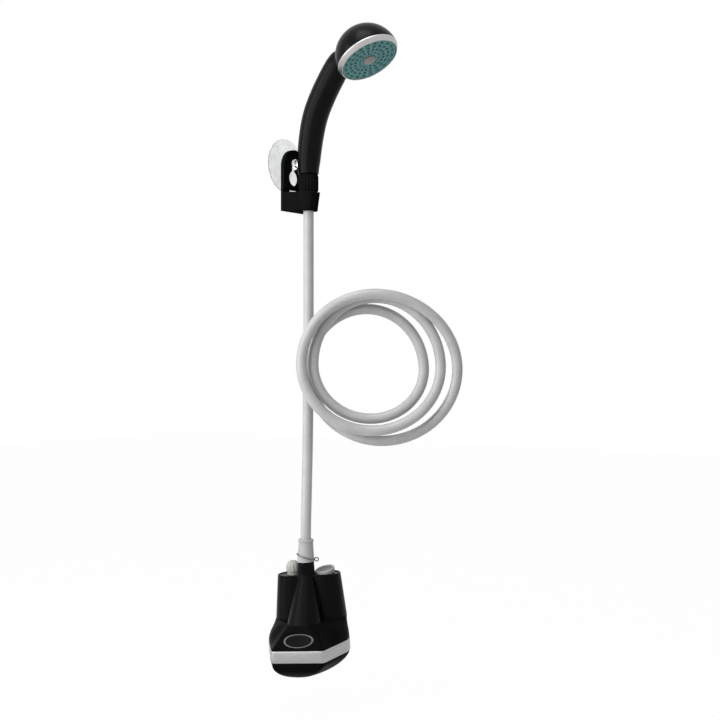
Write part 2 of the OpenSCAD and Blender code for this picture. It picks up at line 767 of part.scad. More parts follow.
module motor_shaft() {
  color(steel) pump_place() at_motor(shaft_foot) cylinder(d=shaft_d, h=shaft_foot - motor_top);
}
module shaft_seal() {
  color("#303030") pump_place() at_motor(deck_foot) difference() {
    cylinder(d=seal_d, h=deck_t);
    translate([0, 0, -1]) cylinder(d=shaft_d + 2 * run, h=deck_t + 2);
  }
}
vanes = 6;
module impeller() {
  color("#d06a2c") pump_place() at_motor(volute_foot - 1) difference() {
    union() {
      translate([0, 0, 7]) cylinder(d=impeller_d, h=1.6);
      cylinder(d=shaft_d + 5, h=8);
      for (i = [0:vanes - 1]) rotate([0, 0, 360 * i / vanes])
        translate([impeller_d / 4, 0, 0]) rotate([0, 0, 25]) translate([-impeller_d / 5, -0.6, 2])
          cube([impeller_d / 2.5, 1.2, 5.5]);
    }
    translate([0, 0, -1]) cylinder(d=shaft_d, h=12);
  }
}

// Battery cells between the strip on the deck and the chamber tops
cell_foot = deck_top - strip_t - spring_h;
module battery_cells() {
  color("#4d7a52") pump_place() at_cells() {
    down(cell_foot) cylinder(d=cell_d, h=cell_l - 1.5);
    down(cell_foot - cell_l + 2) cylinder(d=9.5, h=2);
  }
}
module contact_strip() {
  color(steel) pump_place() down(deck_top) translate([-cell_x - 6, cell_y - 6, 0])
    cube([2 * cell_x + 12, 12, strip_t]);
}
module contact_springs() {
  color(steel) pump_place() down(deck_top - strip_t) at_cells() difference() {
    cylinder(d1=12, d2=8, h=spring_h);
    translate([0, 0, -1]) cylinder(d=6, h=spring_h + 2);
  }
}

// Push switch in the left chamber top, charging socket under its cover in the right one
switch_body_h = 3.4;
spring_solid = 0.6;
spring_foot = top_drop + switch_pocket - switch_body_h;
button_foot = spring_foot - button_travel - spring_solid;
button_rise = 17;
module switch_body() {
  color("#5a5a5c") pump_place() translate([-cell_x, cell_y, 0]) down(top_drop + switch_pocket)
    cylinder(d=button_d, h=switch_body_h);
}
module switch_spring() {
  color(steel) pump_place() translate([-cell_x, cell_y, 0]) down(spring_foot) difference() {
    cylinder(d=7, h=spring_foot - button_foot);
    translate([0, 0, -1]) cylinder(d=5, h=12);
  }
}
module switch_button() {
  crown = button_d / 2;
  color(grey) pump_place() translate([-cell_x, cell_y, 0]) {
    down(button_foot) cylinder(d=button_d, h=button_foot - top_drop + button_rise - crown);
    translate([0, 0, button_rise - top_drop - crown]) sphere(r=crown);
  }
}
socket_d = 11;
plug_d = 5.6;
module charge_socket() {
  color("#3a3a3c") pump_place() translate([cell_x, cell_y, 0]) down(top_drop + switch_pocket) difference() {
    cylinder(d=socket_d, h=switch_pocket + 1.2);
    translate([0, 0, 3]) cylinder(d=plug_d, h=switch_pocket);
  }
}
lift_tab = [5, 4, 2.5];
lift_out = 2;
barrel_d = 4;
web_t = 3;
dish_rim = 3;
dish_deep = 1.2;
seat_deep = 2;
module charge_cover() {
  color(grey) pump_place() difference() {
    union() {
      translate([cell_x, cell_y, 0]) down(top_drop - gap) {
        cylinder(d=cover_d, h=cover_t);
        translate([-cover_d / 2 - lift_out, -lift_tab[1] / 2, 0]) cube(lift_tab);
      }
      translate([cell_x - tab_w / 2, hinge_y, 0]) down(hinge_z) rotate([0, 90, 0])
        cylinder(d=barrel_d, h=tab_w);
      translate([cell_x - tab_w / 2, cell_y, 0]) down(hinge_z + web_t / 2)
        cube([tab_w, hinge_y - cell_y, web_t]);
    }
    translate([cell_x, cell_y, 0]) {
      down(top_drop + 1) cylinder(d=socket_d + 2, h=1 + gap + seat_deep);
      down(top_drop - gap - cover_t + dish_deep) cylinder(d=cover_d - 2 * dish_rim, h=dish_deep + 1);
    }
    translate([0, hinge_y, 0]) down(hinge_z) rotate([0, 90, 0]) cylinder(d=pin_d + 2 * run, h=2 * cell_x);
  }
}
module cover_pin() {
  pin_l = tab_w + 2 * ear_t + 2 * gap;
  color(steel) pump_place() translate([cell_x - pin_l / 2, hinge_y, 0]) down(hinge_z)
    rotate([0, 90, 0]) cylinder(d=pin_d, h=pin_l);
}

suction_cup();
bracket();
hose_nut();
hose_tail();
nut_washer();
handle();
head_shell();
trim_ring();
head_seal();
spray_plate();
nozzle_mat();
centre_cap();
face_screw();
hose_upper();
hose_coil();
hose_lower();
hose_sleeve();
hose_clip();
outlet_spigot();
pump_housing();
lower_hull();
hull_gasket();
trim_band();
intake_base();
pump_deck();
deck_screws();
outlet_tube();
volute();
volute_cover();
strainer();
motor_can();
motor_magnet();
motor_rotor();
motor_shaft();
shaft_seal();
impeller();
battery_cells();
contact_strip();
contact_springs();
switch_body();
switch_spring();
switch_button();
charge_socket();
charge_cover();
cover_pin();
badge();
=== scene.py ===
# %% [markdown]
# A camp shower pump, dressed for a studio picture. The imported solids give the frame: every piece
# made here is worked out in millimetres in the same axes, with the wall on the +Y side and +Z up.

# %% Load the frame
import bmesh
import bpy
import numpy as np
from mathutils import Matrix


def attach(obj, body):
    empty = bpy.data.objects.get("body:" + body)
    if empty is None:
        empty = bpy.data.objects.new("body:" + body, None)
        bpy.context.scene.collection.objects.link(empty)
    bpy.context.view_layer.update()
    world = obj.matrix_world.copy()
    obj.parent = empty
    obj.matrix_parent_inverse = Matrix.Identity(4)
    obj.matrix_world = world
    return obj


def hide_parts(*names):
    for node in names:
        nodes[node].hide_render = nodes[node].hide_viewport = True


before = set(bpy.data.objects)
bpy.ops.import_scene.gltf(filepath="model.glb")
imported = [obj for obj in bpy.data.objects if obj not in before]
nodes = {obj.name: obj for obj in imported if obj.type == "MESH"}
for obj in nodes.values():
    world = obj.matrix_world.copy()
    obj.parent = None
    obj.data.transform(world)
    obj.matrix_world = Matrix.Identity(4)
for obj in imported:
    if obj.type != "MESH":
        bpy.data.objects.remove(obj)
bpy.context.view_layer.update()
MM = 0.001

# %% [markdown]
# Most pieces here are skins: a grid of points worked out with numpy, with rows along the piece and
# columns round it. One helper turns such a grid into a mesh. Points that fall together, as at a
# pole or along a seam, are merged, so that the skin closes and its faces can be turned outwards.

# %% Grid to mesh


def cells(rows, cols):
    """Quads of a closed-round grid: each joins a point to the next column and row."""
    at = np.arange(rows * cols).reshape(rows, cols)
    east = np.roll(at, -1, axis=1)
    return np.stack([at[:-1], east[:-1], east[1:], at[1:]], axis=-1).reshape(-1, 4)


def skin(name, grid, body, material, slot=None, stands_for=(), tags=None, uv_mm=None, crease=35):
    """Mesh of a closed-round grid[row, column].
    tags is a value per point, kept as the attribute "tag"; uv_mm is (rows, columns, 2)."""
    rows, cols = grid.shape[:2]
    mesh = bpy.data.meshes.new(name)
    mesh.from_pydata((grid.reshape(-1, 3) * MM).tolist(), [], cells(rows, cols).tolist())
    if tags is not None:
        layer = mesh.attributes.new("tag", "FLOAT", "POINT")
        layer.data.foreach_set("value", np.asarray(tags, np.float32).ravel())
    if uv_mm is not None:
        layer = mesh.uv_layers.new(name="along")
        wrapped = np.concatenate([uv_mm, uv_mm[:, :1] + [[[uv_mm[0, :, 0].max() * (1 + 1 / cols), 0]]]], 1)
        corner = np.stack([wrapped[:-1, :-1], wrapped[:-1, 1:], wrapped[1:, 1:], wrapped[1:, :-1]], 2)
        layer.data.foreach_set("uv", corner.astype(np.float32).ravel())
    return settle(mesh, name, body, material, stands_for, crease)


def settle(mesh, name, body, material, stands_for=(), crease=35):
    """Merges doubles, turns faces outwards, marks edges sharper than crease and rides on a body."""
    work = bmesh.new()
    work.from_mesh(mesh)
    bmesh.ops.remove_doubles(work, verts=work.verts, dist=2e-6)
    bmesh.ops.dissolve_degenerate(work, edges=work.edges, dist=1e-6)
    bmesh.ops.recalc_face_normals(work, faces=work.faces)
    work.to_mesh(mesh)
    work.free()
    mesh.polygons.foreach_set("use_smooth", np.ones(len(mesh.polygons), bool))
    mesh.set_sharp_from_angle(angle=np.radians(crease))
    piece = bpy.data.objects.new(name, mesh)
    bpy.context.scene.collection.objects.link(piece)
    piece.data.materials.append(material)
    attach(piece, body)
    if stands_for:
        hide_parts(*stands_for)
    print(name, len(mesh.vertices), "points")
    return piece


def round_angles(count):
    """Equal steps once round, as an array."""
    return np.linspace(0, 2 * np.pi, count, endpoint=False)


def lathe(profile, count=96):
    """Profile of (radius, height) rows turned about Z: x = r cos a, y = r sin a."""
    r, z = np.asarray(profile, float).T
    a = round_angles(count)
    return np.stack([np.outer(r, np.cos(a)), np.outer(r, np.sin(a)), np.outer(z, np.ones(count))], -1)


def arc(cx, cz, r, start, end, count=7):
    """Points on a circle in a profile, from one angle to another in degrees."""
    a = np.radians(np.linspace(start, end, count))
    return np.stack([cx + r * np.cos(a), cz + r * np.sin(a)], -1)


def turn(axis, degrees):
    """Rotation matrix about an axis, by Rodrigues' formula."""
    x, y, z = np.asarray(axis, float) / np.linalg.norm(axis)
    k = np.array([[0, -z, y], [z, 0, -x], [-y, x, 0]])
    a = np.radians(degrees)
    return np.eye(3) + np.sin(a) * k + (1 - np.cos(a)) * k @ k


def spline(points, per=8):
    """Catmull-Rom curve through points: each span is a cubic set by its four neighbours."""
    p = np.asarray(points, float)
    p = np.concatenate([[2 * p[0] - p[1]], p, [2 * p[-1] - p[-2]]])
    t = np.linspace(0, 1, per, endpoint=False)[None, :, None]
    a, b, c, d = (p[i:len(p) - 3 + i, None] for i in range(4))
    span = b + 0.5 * t * (c - a + t * (2 * a - 5 * b + 4 * c - d + t * (3 * (b - c) + d - a)))
    return np.concatenate([span.reshape(-1, p.shape[1]), p[-2:-1]])


def tube(path, radius, reference, count=32):
    """Circles of the given radius along a path, each square to it, with their seam towards reference."""
    tangent = np.gradient(path, axis=0)
    tangent /= np.linalg.norm(tangent, axis=1, keepdims=True)
    u = np.cross(tangent, reference)
    u /= np.linalg.norm(u, axis=1, keepdims=True)
    v = np.cross(tangent, u)
    a = round_angles(count)[None, :, None]
    r = np.broadcast_to(radius, len(path))[:, None, None]
    return path[:, None] + r * (np.cos(a) * u[:, None] + np.sin(a) * v[:, None])


def capped(grid):
    """The grid with a row at each end drawn into its centre, so that the skin closes."""
    ends = [np.broadcast_to(row.mean(0), row.shape)[None] for row in (grid[0], grid[-1])]
    return np.concatenate([ends[0], grid, ends[1]])


# %% [markdown]
# Materials are node trees. Written by hand, node code hides the sums in it, so one small class
# wraps a socket: arithmetic on it adds Math nodes, and its node method makes any other node.

# %% Shader sums


class Flow:
    """A socket in a node tree. +, - and * on it add Math nodes, also with the number on the left."""

    def __init__(self, tree, socket=None):
        self.tree = tree
        self.socket = socket

    def node(self, kind, settings=None, sockets=None, out=0):
        """A new node: settings are set first, then the values or links of its sockets."""
        made = self.tree.nodes.new("ShaderNode" + kind)
        for key, value in (settings or {}).items():
            setattr(made, key, value)
        for key, value in (sockets or {}).items():
            if isinstance(value, Flow):
                self.tree.links.new(value.socket, made.inputs[key])
            else:
                made.inputs[key].default_value = value
        return Flow(self.tree, made.outputs[out])

    def sum(self, operation, first, second=0.0):
        return self.node("Math", {"operation": operation}, {0: first, 1: second})

    def __add__(self, other):
        return self.sum("ADD", self, other)

    def __sub__(self, other):
        return self.sum("SUBTRACT", self, other)

    def __rsub__(self, other):
        return self.sum("SUBTRACT", other, self)

    def __mul__(self, other):
        return self.sum("MULTIPLY", self, other)

    __radd__ = __add__
    __rmul__ = __mul__

    def mix(self, low, high):
        """Colour that goes from low to high as this value goes from 0 to 1."""
        return self.node("Mix", {"data_type": "RGBA"}, {"Factor": self, 6: low, 7: high}, 2)

    def over(self, low, high):
        """This value as 0 at low and 1 at high, clamped."""
        return self.node("MapRange", {}, {"Value": self, "From Min": low, "From Max": high})


def grey(value):
    """An opaque grey as four numbers."""
    return (value, value, value, 1.0)


def finish(name, roughness=0.4, **constants):
    """New material: its shader node, and a Flow to start from. Constants go on the shader itself."""
    material = bpy.data.materials.new(name)
    material.use_nodes = True
    tree = material.node_tree
    shader = next(n for n in tree.nodes if n.type == "BSDF_PRINCIPLED")
    shader.inputs["Roughness"].default_value = roughness
    for key, value in constants.items():
        shader.inputs[key.replace("_", " ")].default_value = value
    return material, shader, Flow(tree)


def feed(shader, **flows):
    """Links flows to the shader's sockets."""
    for key, flow in flows.items():
        flow.tree.links.new(flow.socket, shader.inputs[key.replace("_", " ")])


def grain(flow, per_mm, detail=2.0, stretch=(1, 1, 1)):
    """Noise on Object coordinates with about per_mm grains in a millimetre, stretched by axis."""
    place = flow.node("TexCoord", out="Object")
    scaled = flow.node("Mapping", {}, {"Vector": place, "Scale": [per_mm / MM * s for s in stretch]})
    return flow.node("TexNoise", {}, {"Vector": scaled, "Scale": 1.0, "Detail": detail}, "Fac")


def bump(flow, height, depth_mm):
    """Normal from a height between 0 and 1 that stands for depth_mm."""
    return flow.node("Bump", {}, {"Height": height, "Distance": depth_mm * MM, "Strength": 1.0}, "Normal")


# %% [markdown]
# The mouldings are one family: a colour that drifts a little, a fine spark texture from the mould
# and a roughness that varies with it. Each moulding gets its own numbers.

# %% Mouldings


def moulding(name, colour, roughness, spark_mm=0.35, depth=0.012, drift=0.15, **constants):
    """Moulded plastic or rubber: drifting colour, spark texture of spark_mm and uneven gloss."""
    material, shader, flow = finish(name, roughness, **constants)
    cloud = grain(flow, 0.04, 3.0).over(0.3, 0.7)
    spark = grain(flow, 1 / spark_mm, 1.0)
    dark = tuple(c * (1 - drift) for c in colour) + (1.0,)
    light = tuple(min(1.0, c * (1 + drift)) for c in colour) + (1.0,)
    feed(shader, Base_Color=cloud.mix(dark, light), Normal=bump(flow, spark, depth),
         Roughness=roughness - 0.05 + cloud * 0.06 + spark * 0.05)
    return material


black_case = moulding("satin_black", (0.003, 0.003, 0.0032), 0.3, Specular_IOR_Level=0.045)
black_hull = moulding("hull_black", (0.004, 0.004, 0.0042), 0.34, Specular_IOR_Level=0.008)
black_grip = moulding("grip_black", (0.0035, 0.0035, 0.0037), 0.28, 0.25, 0.02, Specular_IOR_Level=0.07)
black_bracket = moulding("bracket_black", (0.008, 0.008, 0.0082), 0.4, 0.5, 0.008, Specular_IOR_Level=0.0)
sleeve_grey = moulding("sleeve_grey", (0.46, 0.46, 0.455), 0.5, 0.3, 0.02, 0.06, Specular_IOR_Level=0.1)
button_grey = moulding("button_grey", (0.46, 0.46, 0.44), 0.48, 0.4, 0.02, 0.08, Specular_IOR_Level=0.1)
seal_black = moulding("seal_black", (0.02, 0.02, 0.02), 0.6, 0.3, 0.02)
taupe_cap = moulding("taupe_cap", (0.27, 0.225, 0.225), 0.42, 0.3, 0.01, 0.08)
inner_plastic = moulding("inner_plastic", (0.62, 0.6, 0.55), 0.4, 0.4, 0.01, 0.05)
impeller_orange = moulding("impeller_orange", (0.55, 0.18, 0.05), 0.4, 0.4, 0.01)
magnet_dark = moulding("magnet_dark", (0.05, 0.047, 0.045), 0.7, 0.2, 0.03)
cell_jacket = moulding("cell_jacket", (0.07, 0.2, 0.09), 0.3, 0.5, 0.004)
print("mouldings made")

# %% [markdown]
# The metals: a brushed band whose scratches run along it, a satin silver ring, and plain steel
# for wire, screws and the inner pieces. Scratches are noise drawn out along one direction.

# %% Metals


def metal(name, colour, roughness, streak, depth=0.004, uneven=0.1):
    """Metal whose streaks are noise stretched by axis; streak is (per_mm, stretch)."""
    material, shader, flow = finish(name, roughness, Metallic=1.0)
    lines = grain(flow, streak[0], 2.0, streak[1])
    low = tuple(c * (1 - uneven) for c in colour) + (1.0,)
    feed(shader, Base_Color=lines.over(0.3, 0.7).mix(low, tuple(colour) + (1.0,)),
         Roughness=roughness - 0.06 + lines * 0.12, Normal=bump(flow, lines, depth))
    return material


def brushed_band():
    """Brushed sheet: noise on the band's own UV map, long along it and fine across it."""
    material, shader, flow = finish("brushed_band", 0.4, Metallic=0.85)
    along = flow.node("UVMap", {"uv_map": "along"})
    drawn = flow.node("Mapping", {}, {"Vector": along, "Scale": (0.07, 3.2, 1.0)})
    lines = flow.node("TexNoise", {}, {"Vector": drawn, "Scale": 1.0, "Detail": 3.0}, "Fac")
    broad = flow.node("Mapping", {}, {"Vector": along, "Scale": (0.02, 0.5, 1.0)})
    cloud = flow.node("TexNoise", {}, {"Vector": broad, "Scale": 1.0, "Detail": 2.0}, "Fac")
    tone = (lines * 0.7 + cloud * 0.3).over(0.32, 0.68)
    feed(shader, Base_Color=tone.mix(grey(0.3), grey(0.46)), Roughness=0.34 + lines * 0.16,
         Normal=bump(flow, lines, 0.02))
    return material


band_metal = brushed_band()
ring_silver = metal("ring_silver", (0.5, 0.48, 0.485), 0.42, (0.8, (1, 1, 1)))
steel = metal("steel", (0.58, 0.58, 0.56), 0.3, (1.5, (1, 1, 6)))
wire_dark = metal("wire_dark", (0.16, 0.16, 0.16), 0.35, (2.0, (1, 1, 1)))
copper = metal("copper", (0.5, 0.26, 0.13), 0.4, (3.0, (1, 1, 8)), 0.02, 0.3)
print("metals made")

# %% [markdown]
# Vinyl parts. The hose is grey vinyl, glossy, with faint lengthwise lines left by the die it was
# drawn through. The cup is clear vinyl, which shows as a pale ring against white.

# %% Vinyl


def hose_vinyl():
    """Grey vinyl: die lines run along the hose's UV map, and the colour drifts slowly along it."""
    material, shader, flow = finish("hose_vinyl", 0.24, Specular_IOR_Level=0.35)
    along = flow.node("UVMap", {"uv_map": "along"})
    lines = flow.node("Mapping", {}, {"Vector": along, "Scale": (1.1, 0.004, 1.0)})
    die = flow.node("TexNoise", {}, {"Vector": lines, "Scale": 1.0, "Detail": 2.0}, "Fac")
    slow = flow.node("Mapping", {}, {"Vector": along, "Scale": (0.05, 0.03, 1.0)})
    drift = flow.node("TexNoise", {}, {"Vector": slow, "Scale": 1.0, "Detail": 2.0}, "Fac").over(0.3, 0.7)
    feed(shader, Base_Color=drift.mix((0.44, 0.445, 0.44, 1), (0.51, 0.515, 0.51, 1)),
         Roughness=0.2 + die * 0.1, Normal=bump(flow, die, 0.03))
    return material


def clear_vinyl():
    """Clear vinyl with a faint cloudiness in its gloss."""
    material, shader, flow = finish("clear_vinyl", 0.12, Transmission_Weight=0.95, IOR=1.38)
    cloud = grain(flow, 0.15, 2.0)
    feed(shader, Base_Color=cloud.over(0.3, 0.7).mix((0.72, 0.73, 0.74, 1), (0.86, 0.87, 0.87, 1)),
         Roughness=0.06 + cloud * 0.12)
    return material


vinyl_hose = hose_vinyl()
vinyl_clear = clear_vinyl()

# %% [markdown]
# The camera stands level with the coil, to the front left of the wall, where the photograph was
# taken from: its place and lens come from the object's scale of 1.22 mm to a pixel.

# %% Camera
VIEW_RIGHT = np.array([0.588, -0.809, 0.0])
VIEW_NEAR = np.array([-0.809, -0.588, 0.0])
UP = np.array([0.0, 0.0, 1.0])
AXIS_OUT = 37.0
AXIS = np.array([0.0, -AXIS_OUT, 0.0])
PIXEL_MM = 1.22
CAMERA_MM = 1450.0
FRAME_PX = 720
KNOB_PX = (308.5, 163.0)
aim = AXIS + (FRAME_PX / 2 - KNOB_PX[0]) * PIXEL_MM * VIEW_RIGHT - (FRAME_PX / 2 - KNOB_PX[1]) * PIXEL_MM * UP
stand = aim + CAMERA_MM * VIEW_NEAR
camera = bpy.data.objects.new("camera", bpy.data.cameras.new("camera"))
camera.data.sensor_width = 36.0
camera.data.lens = 36.0 * CAMERA_MM / (FRAME_PX * PIXEL_MM)
camera.location = stand * MM
camera.rotation_euler = (np.pi / 2, 0.0, np.arctan2(-VIEW_NEAR[1], -VIEW_NEAR[0]) - np.pi / 2)
bpy.context.scene.collection.objects.link(camera)
bpy.context.scene.camera = camera
bpy.context.scene.view_settings.view_transform = "Standard"
print("camera at", stand.round(1), "lens", round(camera.data.lens, 2))

# %% [markdown]
# Light: a white world that the camera, mirrors and glass see, at a lower level for the rest, a
# long soft box at the left that draws the highlight down the handle, a broad one at the front
# left, and one above. The floor lies under the hanging pump and stays nearly white.

# %% World, lamps and floor
AMBIENT = 0.3


def sees_backdrop(flow):
    """1 for rays from the camera, mirrors and glass, else 0."""
    path = flow.node("LightPath")
    rays = [Flow(flow.tree, path.socket.node.outputs[k]) for k in ("Is Camera Ray", "Is Glossy Ray",
                                                                   "Is Transmission Ray")]
    return (rays[0] + rays[1] + rays[2]).over(0.0, 1.0)


world = bpy.data.worlds.new("studio")
bpy.context.scene.world = world
world.use_nodes = True
sky = next(n for n in world.node_tree.nodes if n.type == "BACKGROUND")
sky_flow = Flow(world.node_tree)
level = sees_backdrop(sky_flow) * (1.0 - AMBIENT) + AMBIENT
world.node_tree.links.new(level.socket, sky.inputs["Strength"])
sky.inputs["Color"].default_value = (1, 1, 1, 1)


def soft_box(name, right, near, up, width, height, watts):
    """Area lamp at so many millimetres right, near and up from the aim, facing it."""
    lamp = bpy.data.lights.new(name, "AREA")
    lamp.shape = "RECTANGLE"
    lamp.size = width * MM
    lamp.size_y = height * MM
    lamp.energy = watts
    holder = bpy.data.objects.new(name, lamp)
    place = aim + right * VIEW_RIGHT + near * VIEW_NEAR + up * UP
    away = (place - aim) / np.linalg.norm(place - aim)
    side = np.cross(UP, away) if abs(away[2]) < 0.95 else VIEW_RIGHT
    side = side / np.linalg.norm(side)
    rise = np.cross(away, side)
    matrix = np.eye(4)
    matrix[:3] = np.stack([side, rise, away, place * MM], 1)
    holder.matrix_world = Matrix(matrix.tolist())
    bpy.context.scene.collection.objects.link(holder)


soft_box("left_box", -1200, 370, 150, 300, 1500, 7)
soft_box("front_box", -820, 800, 300, 800, 1000, 7)
soft_box("top_box", -200, 500, 1300, 700, 700, 9)

FLOOR_Z = -660.0
FLOOR_HALF = 4000.0
floor_mesh = bpy.data.meshes.new("floor")
corners = np.array([[-1, -1], [1, -1], [1, 1], [-1, 1]]) * FLOOR_HALF
floor_mesh.from_pydata([(x * MM, y * MM, FLOOR_Z * MM) for x, y in corners], [], [(0, 1, 2, 3)])
floor = bpy.data.objects.new("floor", floor_mesh)
bpy.context.scene.collection.objects.link(floor)
floor_paint, floor_shader, floor_flow = finish("floor_paint", 0.8, Base_Color=(0.85, 0.85, 0.85, 1))
glow = floor_flow.node("Emission", {}, {"Color": (1, 1, 1, 1), "Strength": 1.0})
shown = sees_backdrop(floor_flow) * 0.98
matt = Flow(floor_flow.tree, floor_shader.outputs[0])
both = floor_flow.node("MixShader", {}, {0: shown, 1: matt, 2: glow})
surface = next(n for n in floor_paint.node_tree.nodes if n.type == "OUTPUT_MATERIAL")
floor_paint.node_tree.links.new(both.socket, surface.inputs["Surface"])
floor.data.materials.append(floor_paint)
print("floor at", FLOOR_Z)

# %% [markdown]
# The hose is one fixed length of soft tube: straight down from the nut, three loops that share
# their left side and shrink, then down to the pump. Its line is the CAD route's formula, sampled
# finely; a curve object could carry it too, but a mesh tube takes a UV map that follows it.

# %% Hose
HOSE_D = 12.8
TIP_Z = -58.8
COIL_Z = -246.6
COIL_LOOPS = 3
COIL_WIDE, COIL_STEP = 101.0, 14.2
COIL_LOW, COIL_LOW_STEP = 95.0, 13.75
COIL_TOP = 84.7
SIDE_SHIFT = 6.9
COIL_DEPTH = np.array([0, 13, 28, 38, 38, 36, 27, 22, 26.5, 24, 17, 11, 14.5])
NECK_Z = -482.2
PUMP_SIDE, PUMP_NEAR = -2.2, 24.0
SLEEVE_H = 27.0


def on_view(s, d, z):
    """Points at so far right, near and up in the view, from the hose's axis."""
    s, d, z = np.broadcast_arrays(*(np.asarray(q, float)[..., None] for q in (s, d, z)))
    return AXIS + s * VIEW_RIGHT + d * VIEW_NEAR + z * UP


def coil_line(k):
    """Loop k of the coil: across 1 - cos, down sin, shrinking with k, with depths eased between quarters."""
    quarter = np.minimum(np.floor(4 * k), len(COIL_DEPTH) - 2).astype(int)
    ease = (1 - np.cos(np.pi * (4 * k - quarter))) / 2
    depth = COIL_DEPTH[quarter] + (COIL_DEPTH[quarter + 1] - COIL_DEPTH[quarter]) * ease
    side = -SIDE_SHIFT * k * (k - 1.5) * (k - 3)
    rise = COIL_TOP - 3.6 * (k - 0.75) - 4.8 * (k - 0.75) * (k - 1.75)
    wave = np.sin(2 * np.pi * k)
    fall = np.where(wave > 0, COIL_LOW - COIL_LOW_STEP * k, rise)
    across = side + (COIL_WIDE - COIL_STEP * k) * (1 - np.cos(2 * np.pi * k))
    return on_view(across, depth, COIL_Z - fall * wave)


lower_d = [14.5, 14.5, 15.2, 16.6, 18.3, 20.1, 21.9, 23.2, PUMP_NEAR, PUMP_NEAR]
lower_z = [COIL_Z - HOSE_D, -285, -310, -335, -360, -385, -410, -430, -444, NECK_Z + SLEEVE_H]
lower_s = [0, 0, 0, -0.2, -0.6, -1.1, -1.6, -2, PUMP_SIDE, PUMP_SIDE]
upper = on_view(0, 0, np.linspace(TIP_Z, COIL_Z + HOSE_D, 24))
coil = coil_line(np.linspace(0, COIL_LOOPS, 120 * COIL_LOOPS + 1))
lower = spline(on_view(lower_s, lower_d, lower_z), 6)
hose_path = np.concatenate([upper, coil, lower])
hose_steps = np.linalg.norm(np.diff(hose_path, axis=0), axis=1)
hose_length = hose_steps.sum()
hose_sides = 32
hose_grid = tube(hose_path, HOSE_D / 2, VIEW_NEAR, hose_sides)
run_mm = np.concatenate([[0], np.cumsum(hose_steps)])
girth_mm = np.arange(hose_sides) * np.pi * HOSE_D / hose_sides
hose_uv = np.stack(np.broadcast_arrays(girth_mm[None], run_mm[:, None]), -1)
cap_uv = np.concatenate([hose_uv[:1], hose_uv, hose_uv[-1:]])
hose = skin("hose", capped(hose_grid), "hose_and_pump", vinyl_hose, "hose_vinyl",
            ("hose_upper", "hose_coil", "hose_lower"), uv_mm=cap_uv)
hose_length * MM
print("hose", round(hose_length), "mm")

# %% [markdown]
# The suction cup is a clear dish pressed on the wall, with a stem through the bracket's keyhole
# and a knob in front. It is one turned profile: out along the wall face, back along the dish.

# %% Suction cup
CUP_D, CUP_RIM_T, CROWN_D = 66.0, 1.6, 18.0
CROWN_H, KNOB_FROM = 10.7, 15.1
STEM_D, KNOB_D, KNOB_H = 8.0, 13.0, 6.0
TO_WALL = turn([1, 0, 0], 90)


def cup_profile():
    """Hollow face, rounded rim, dish rising with the square of the way in, then stem and knob."""
    rim = CUP_D / 2
    t = np.linspace(0, 1, 24)
    hollow = np.stack([(rim - 3) * t, 0.02 + 5.6 * (1 - t * t)], -1)
    edge = arc(rim - CUP_RIM_T / 2, CUP_RIM_T / 2, CUP_RIM_T / 2, -90, 90)
    dish = np.stack([rim - 1 + (CROWN_D / 2 - rim + 1) * t, CUP_RIM_T + (CROWN_H - CUP_RIM_T) * t * t], -1)
    stem = [[STEM_D / 2 + 1.2, CROWN_H - 0.1], [STEM_D / 2, CROWN_H + 0.8], [STEM_D / 2, KNOB_FROM]]
    under = arc(KNOB_D / 2 - 1.2, KNOB_FROM + 1.2, 1.2, -90, 0, 5)
    a = np.linspace(0.1, np.pi / 2, 8)
    bulge = np.stack([KNOB_D / 2 * np.cos(a), KNOB_FROM + 1.6 + (KNOB_H - 1.6) * np.sin(a)], -1)
    return np.concatenate([hollow, edge, dish[1:], stem, under, bulge])


skin("suction_cup_clear", lathe(cup_profile(), 96) @ TO_WALL.T, "wall_cup", vinyl_clear, "clear_cup",
     ("suction_cup",), crease=50)

# %% [markdown]
# The bracket, the nut and the inner pieces keep their solids, because their shapes are already
# right. A narrow bevel on their sharp edges catches light as a moulded edge does: the solid's
# triangles are welded first, and the mesh itself stays as it was packed.

# %% Solids that stay


def edge_light(node, width_mm, angle=40):
    """Weld and Bevel modifiers: edges sharper than angle get a rounding of width_mm."""
    weld = nodes[node].modifiers.new("weld", "WELD")
    weld.merge_threshold = 2e-6
    bevel = nodes[node].modifiers.new("bevel", "BEVEL")
    bevel.width = width_mm * MM
    bevel.segments = 2
    bevel.limit_method = "ANGLE"
    bevel.angle_limit = np.radians(angle)
    bevel.harden_normals = True


def dress(material, *names):
    """Gives CAD nodes a material."""
    for name in names:
        nodes[name].data.materials.clear()
        nodes[name].data.materials.append(material)


dress(black_bracket, "bracket", "hose_nut")
dress(seal_black, "nut_washer", "head_seal", "hull_gasket", "strainer", "shaft_seal", "charge_socket")
dress(steel, "face_screw", "deck_screws", "motor_can", "motor_shaft", "contact_strip", "contact_springs",
      "switch_spring", "cover_pin")
dress(inner_plastic, "pump_deck", "outlet_tube", "volute", "volute_cover", "switch_body", "hose_tail")
dress(black_case, "outlet_spigot")
dress(magnet_dark, "motor_magnet")
dress(copper, "motor_rotor")
dress(impeller_orange, "impeller")
dress(cell_jacket, "battery_cells")
edge_light("bracket", 0.7)
edge_light("hose_nut", 0.35)

# %% [markdown]
# The handle is a round bar drawn along a curved line that leans out from the nut to the head. Its
# radius grows from the foot to the grip. A curve with a bevel would do, but the sums keep the
# foot's rounding and the neck's taper exact.

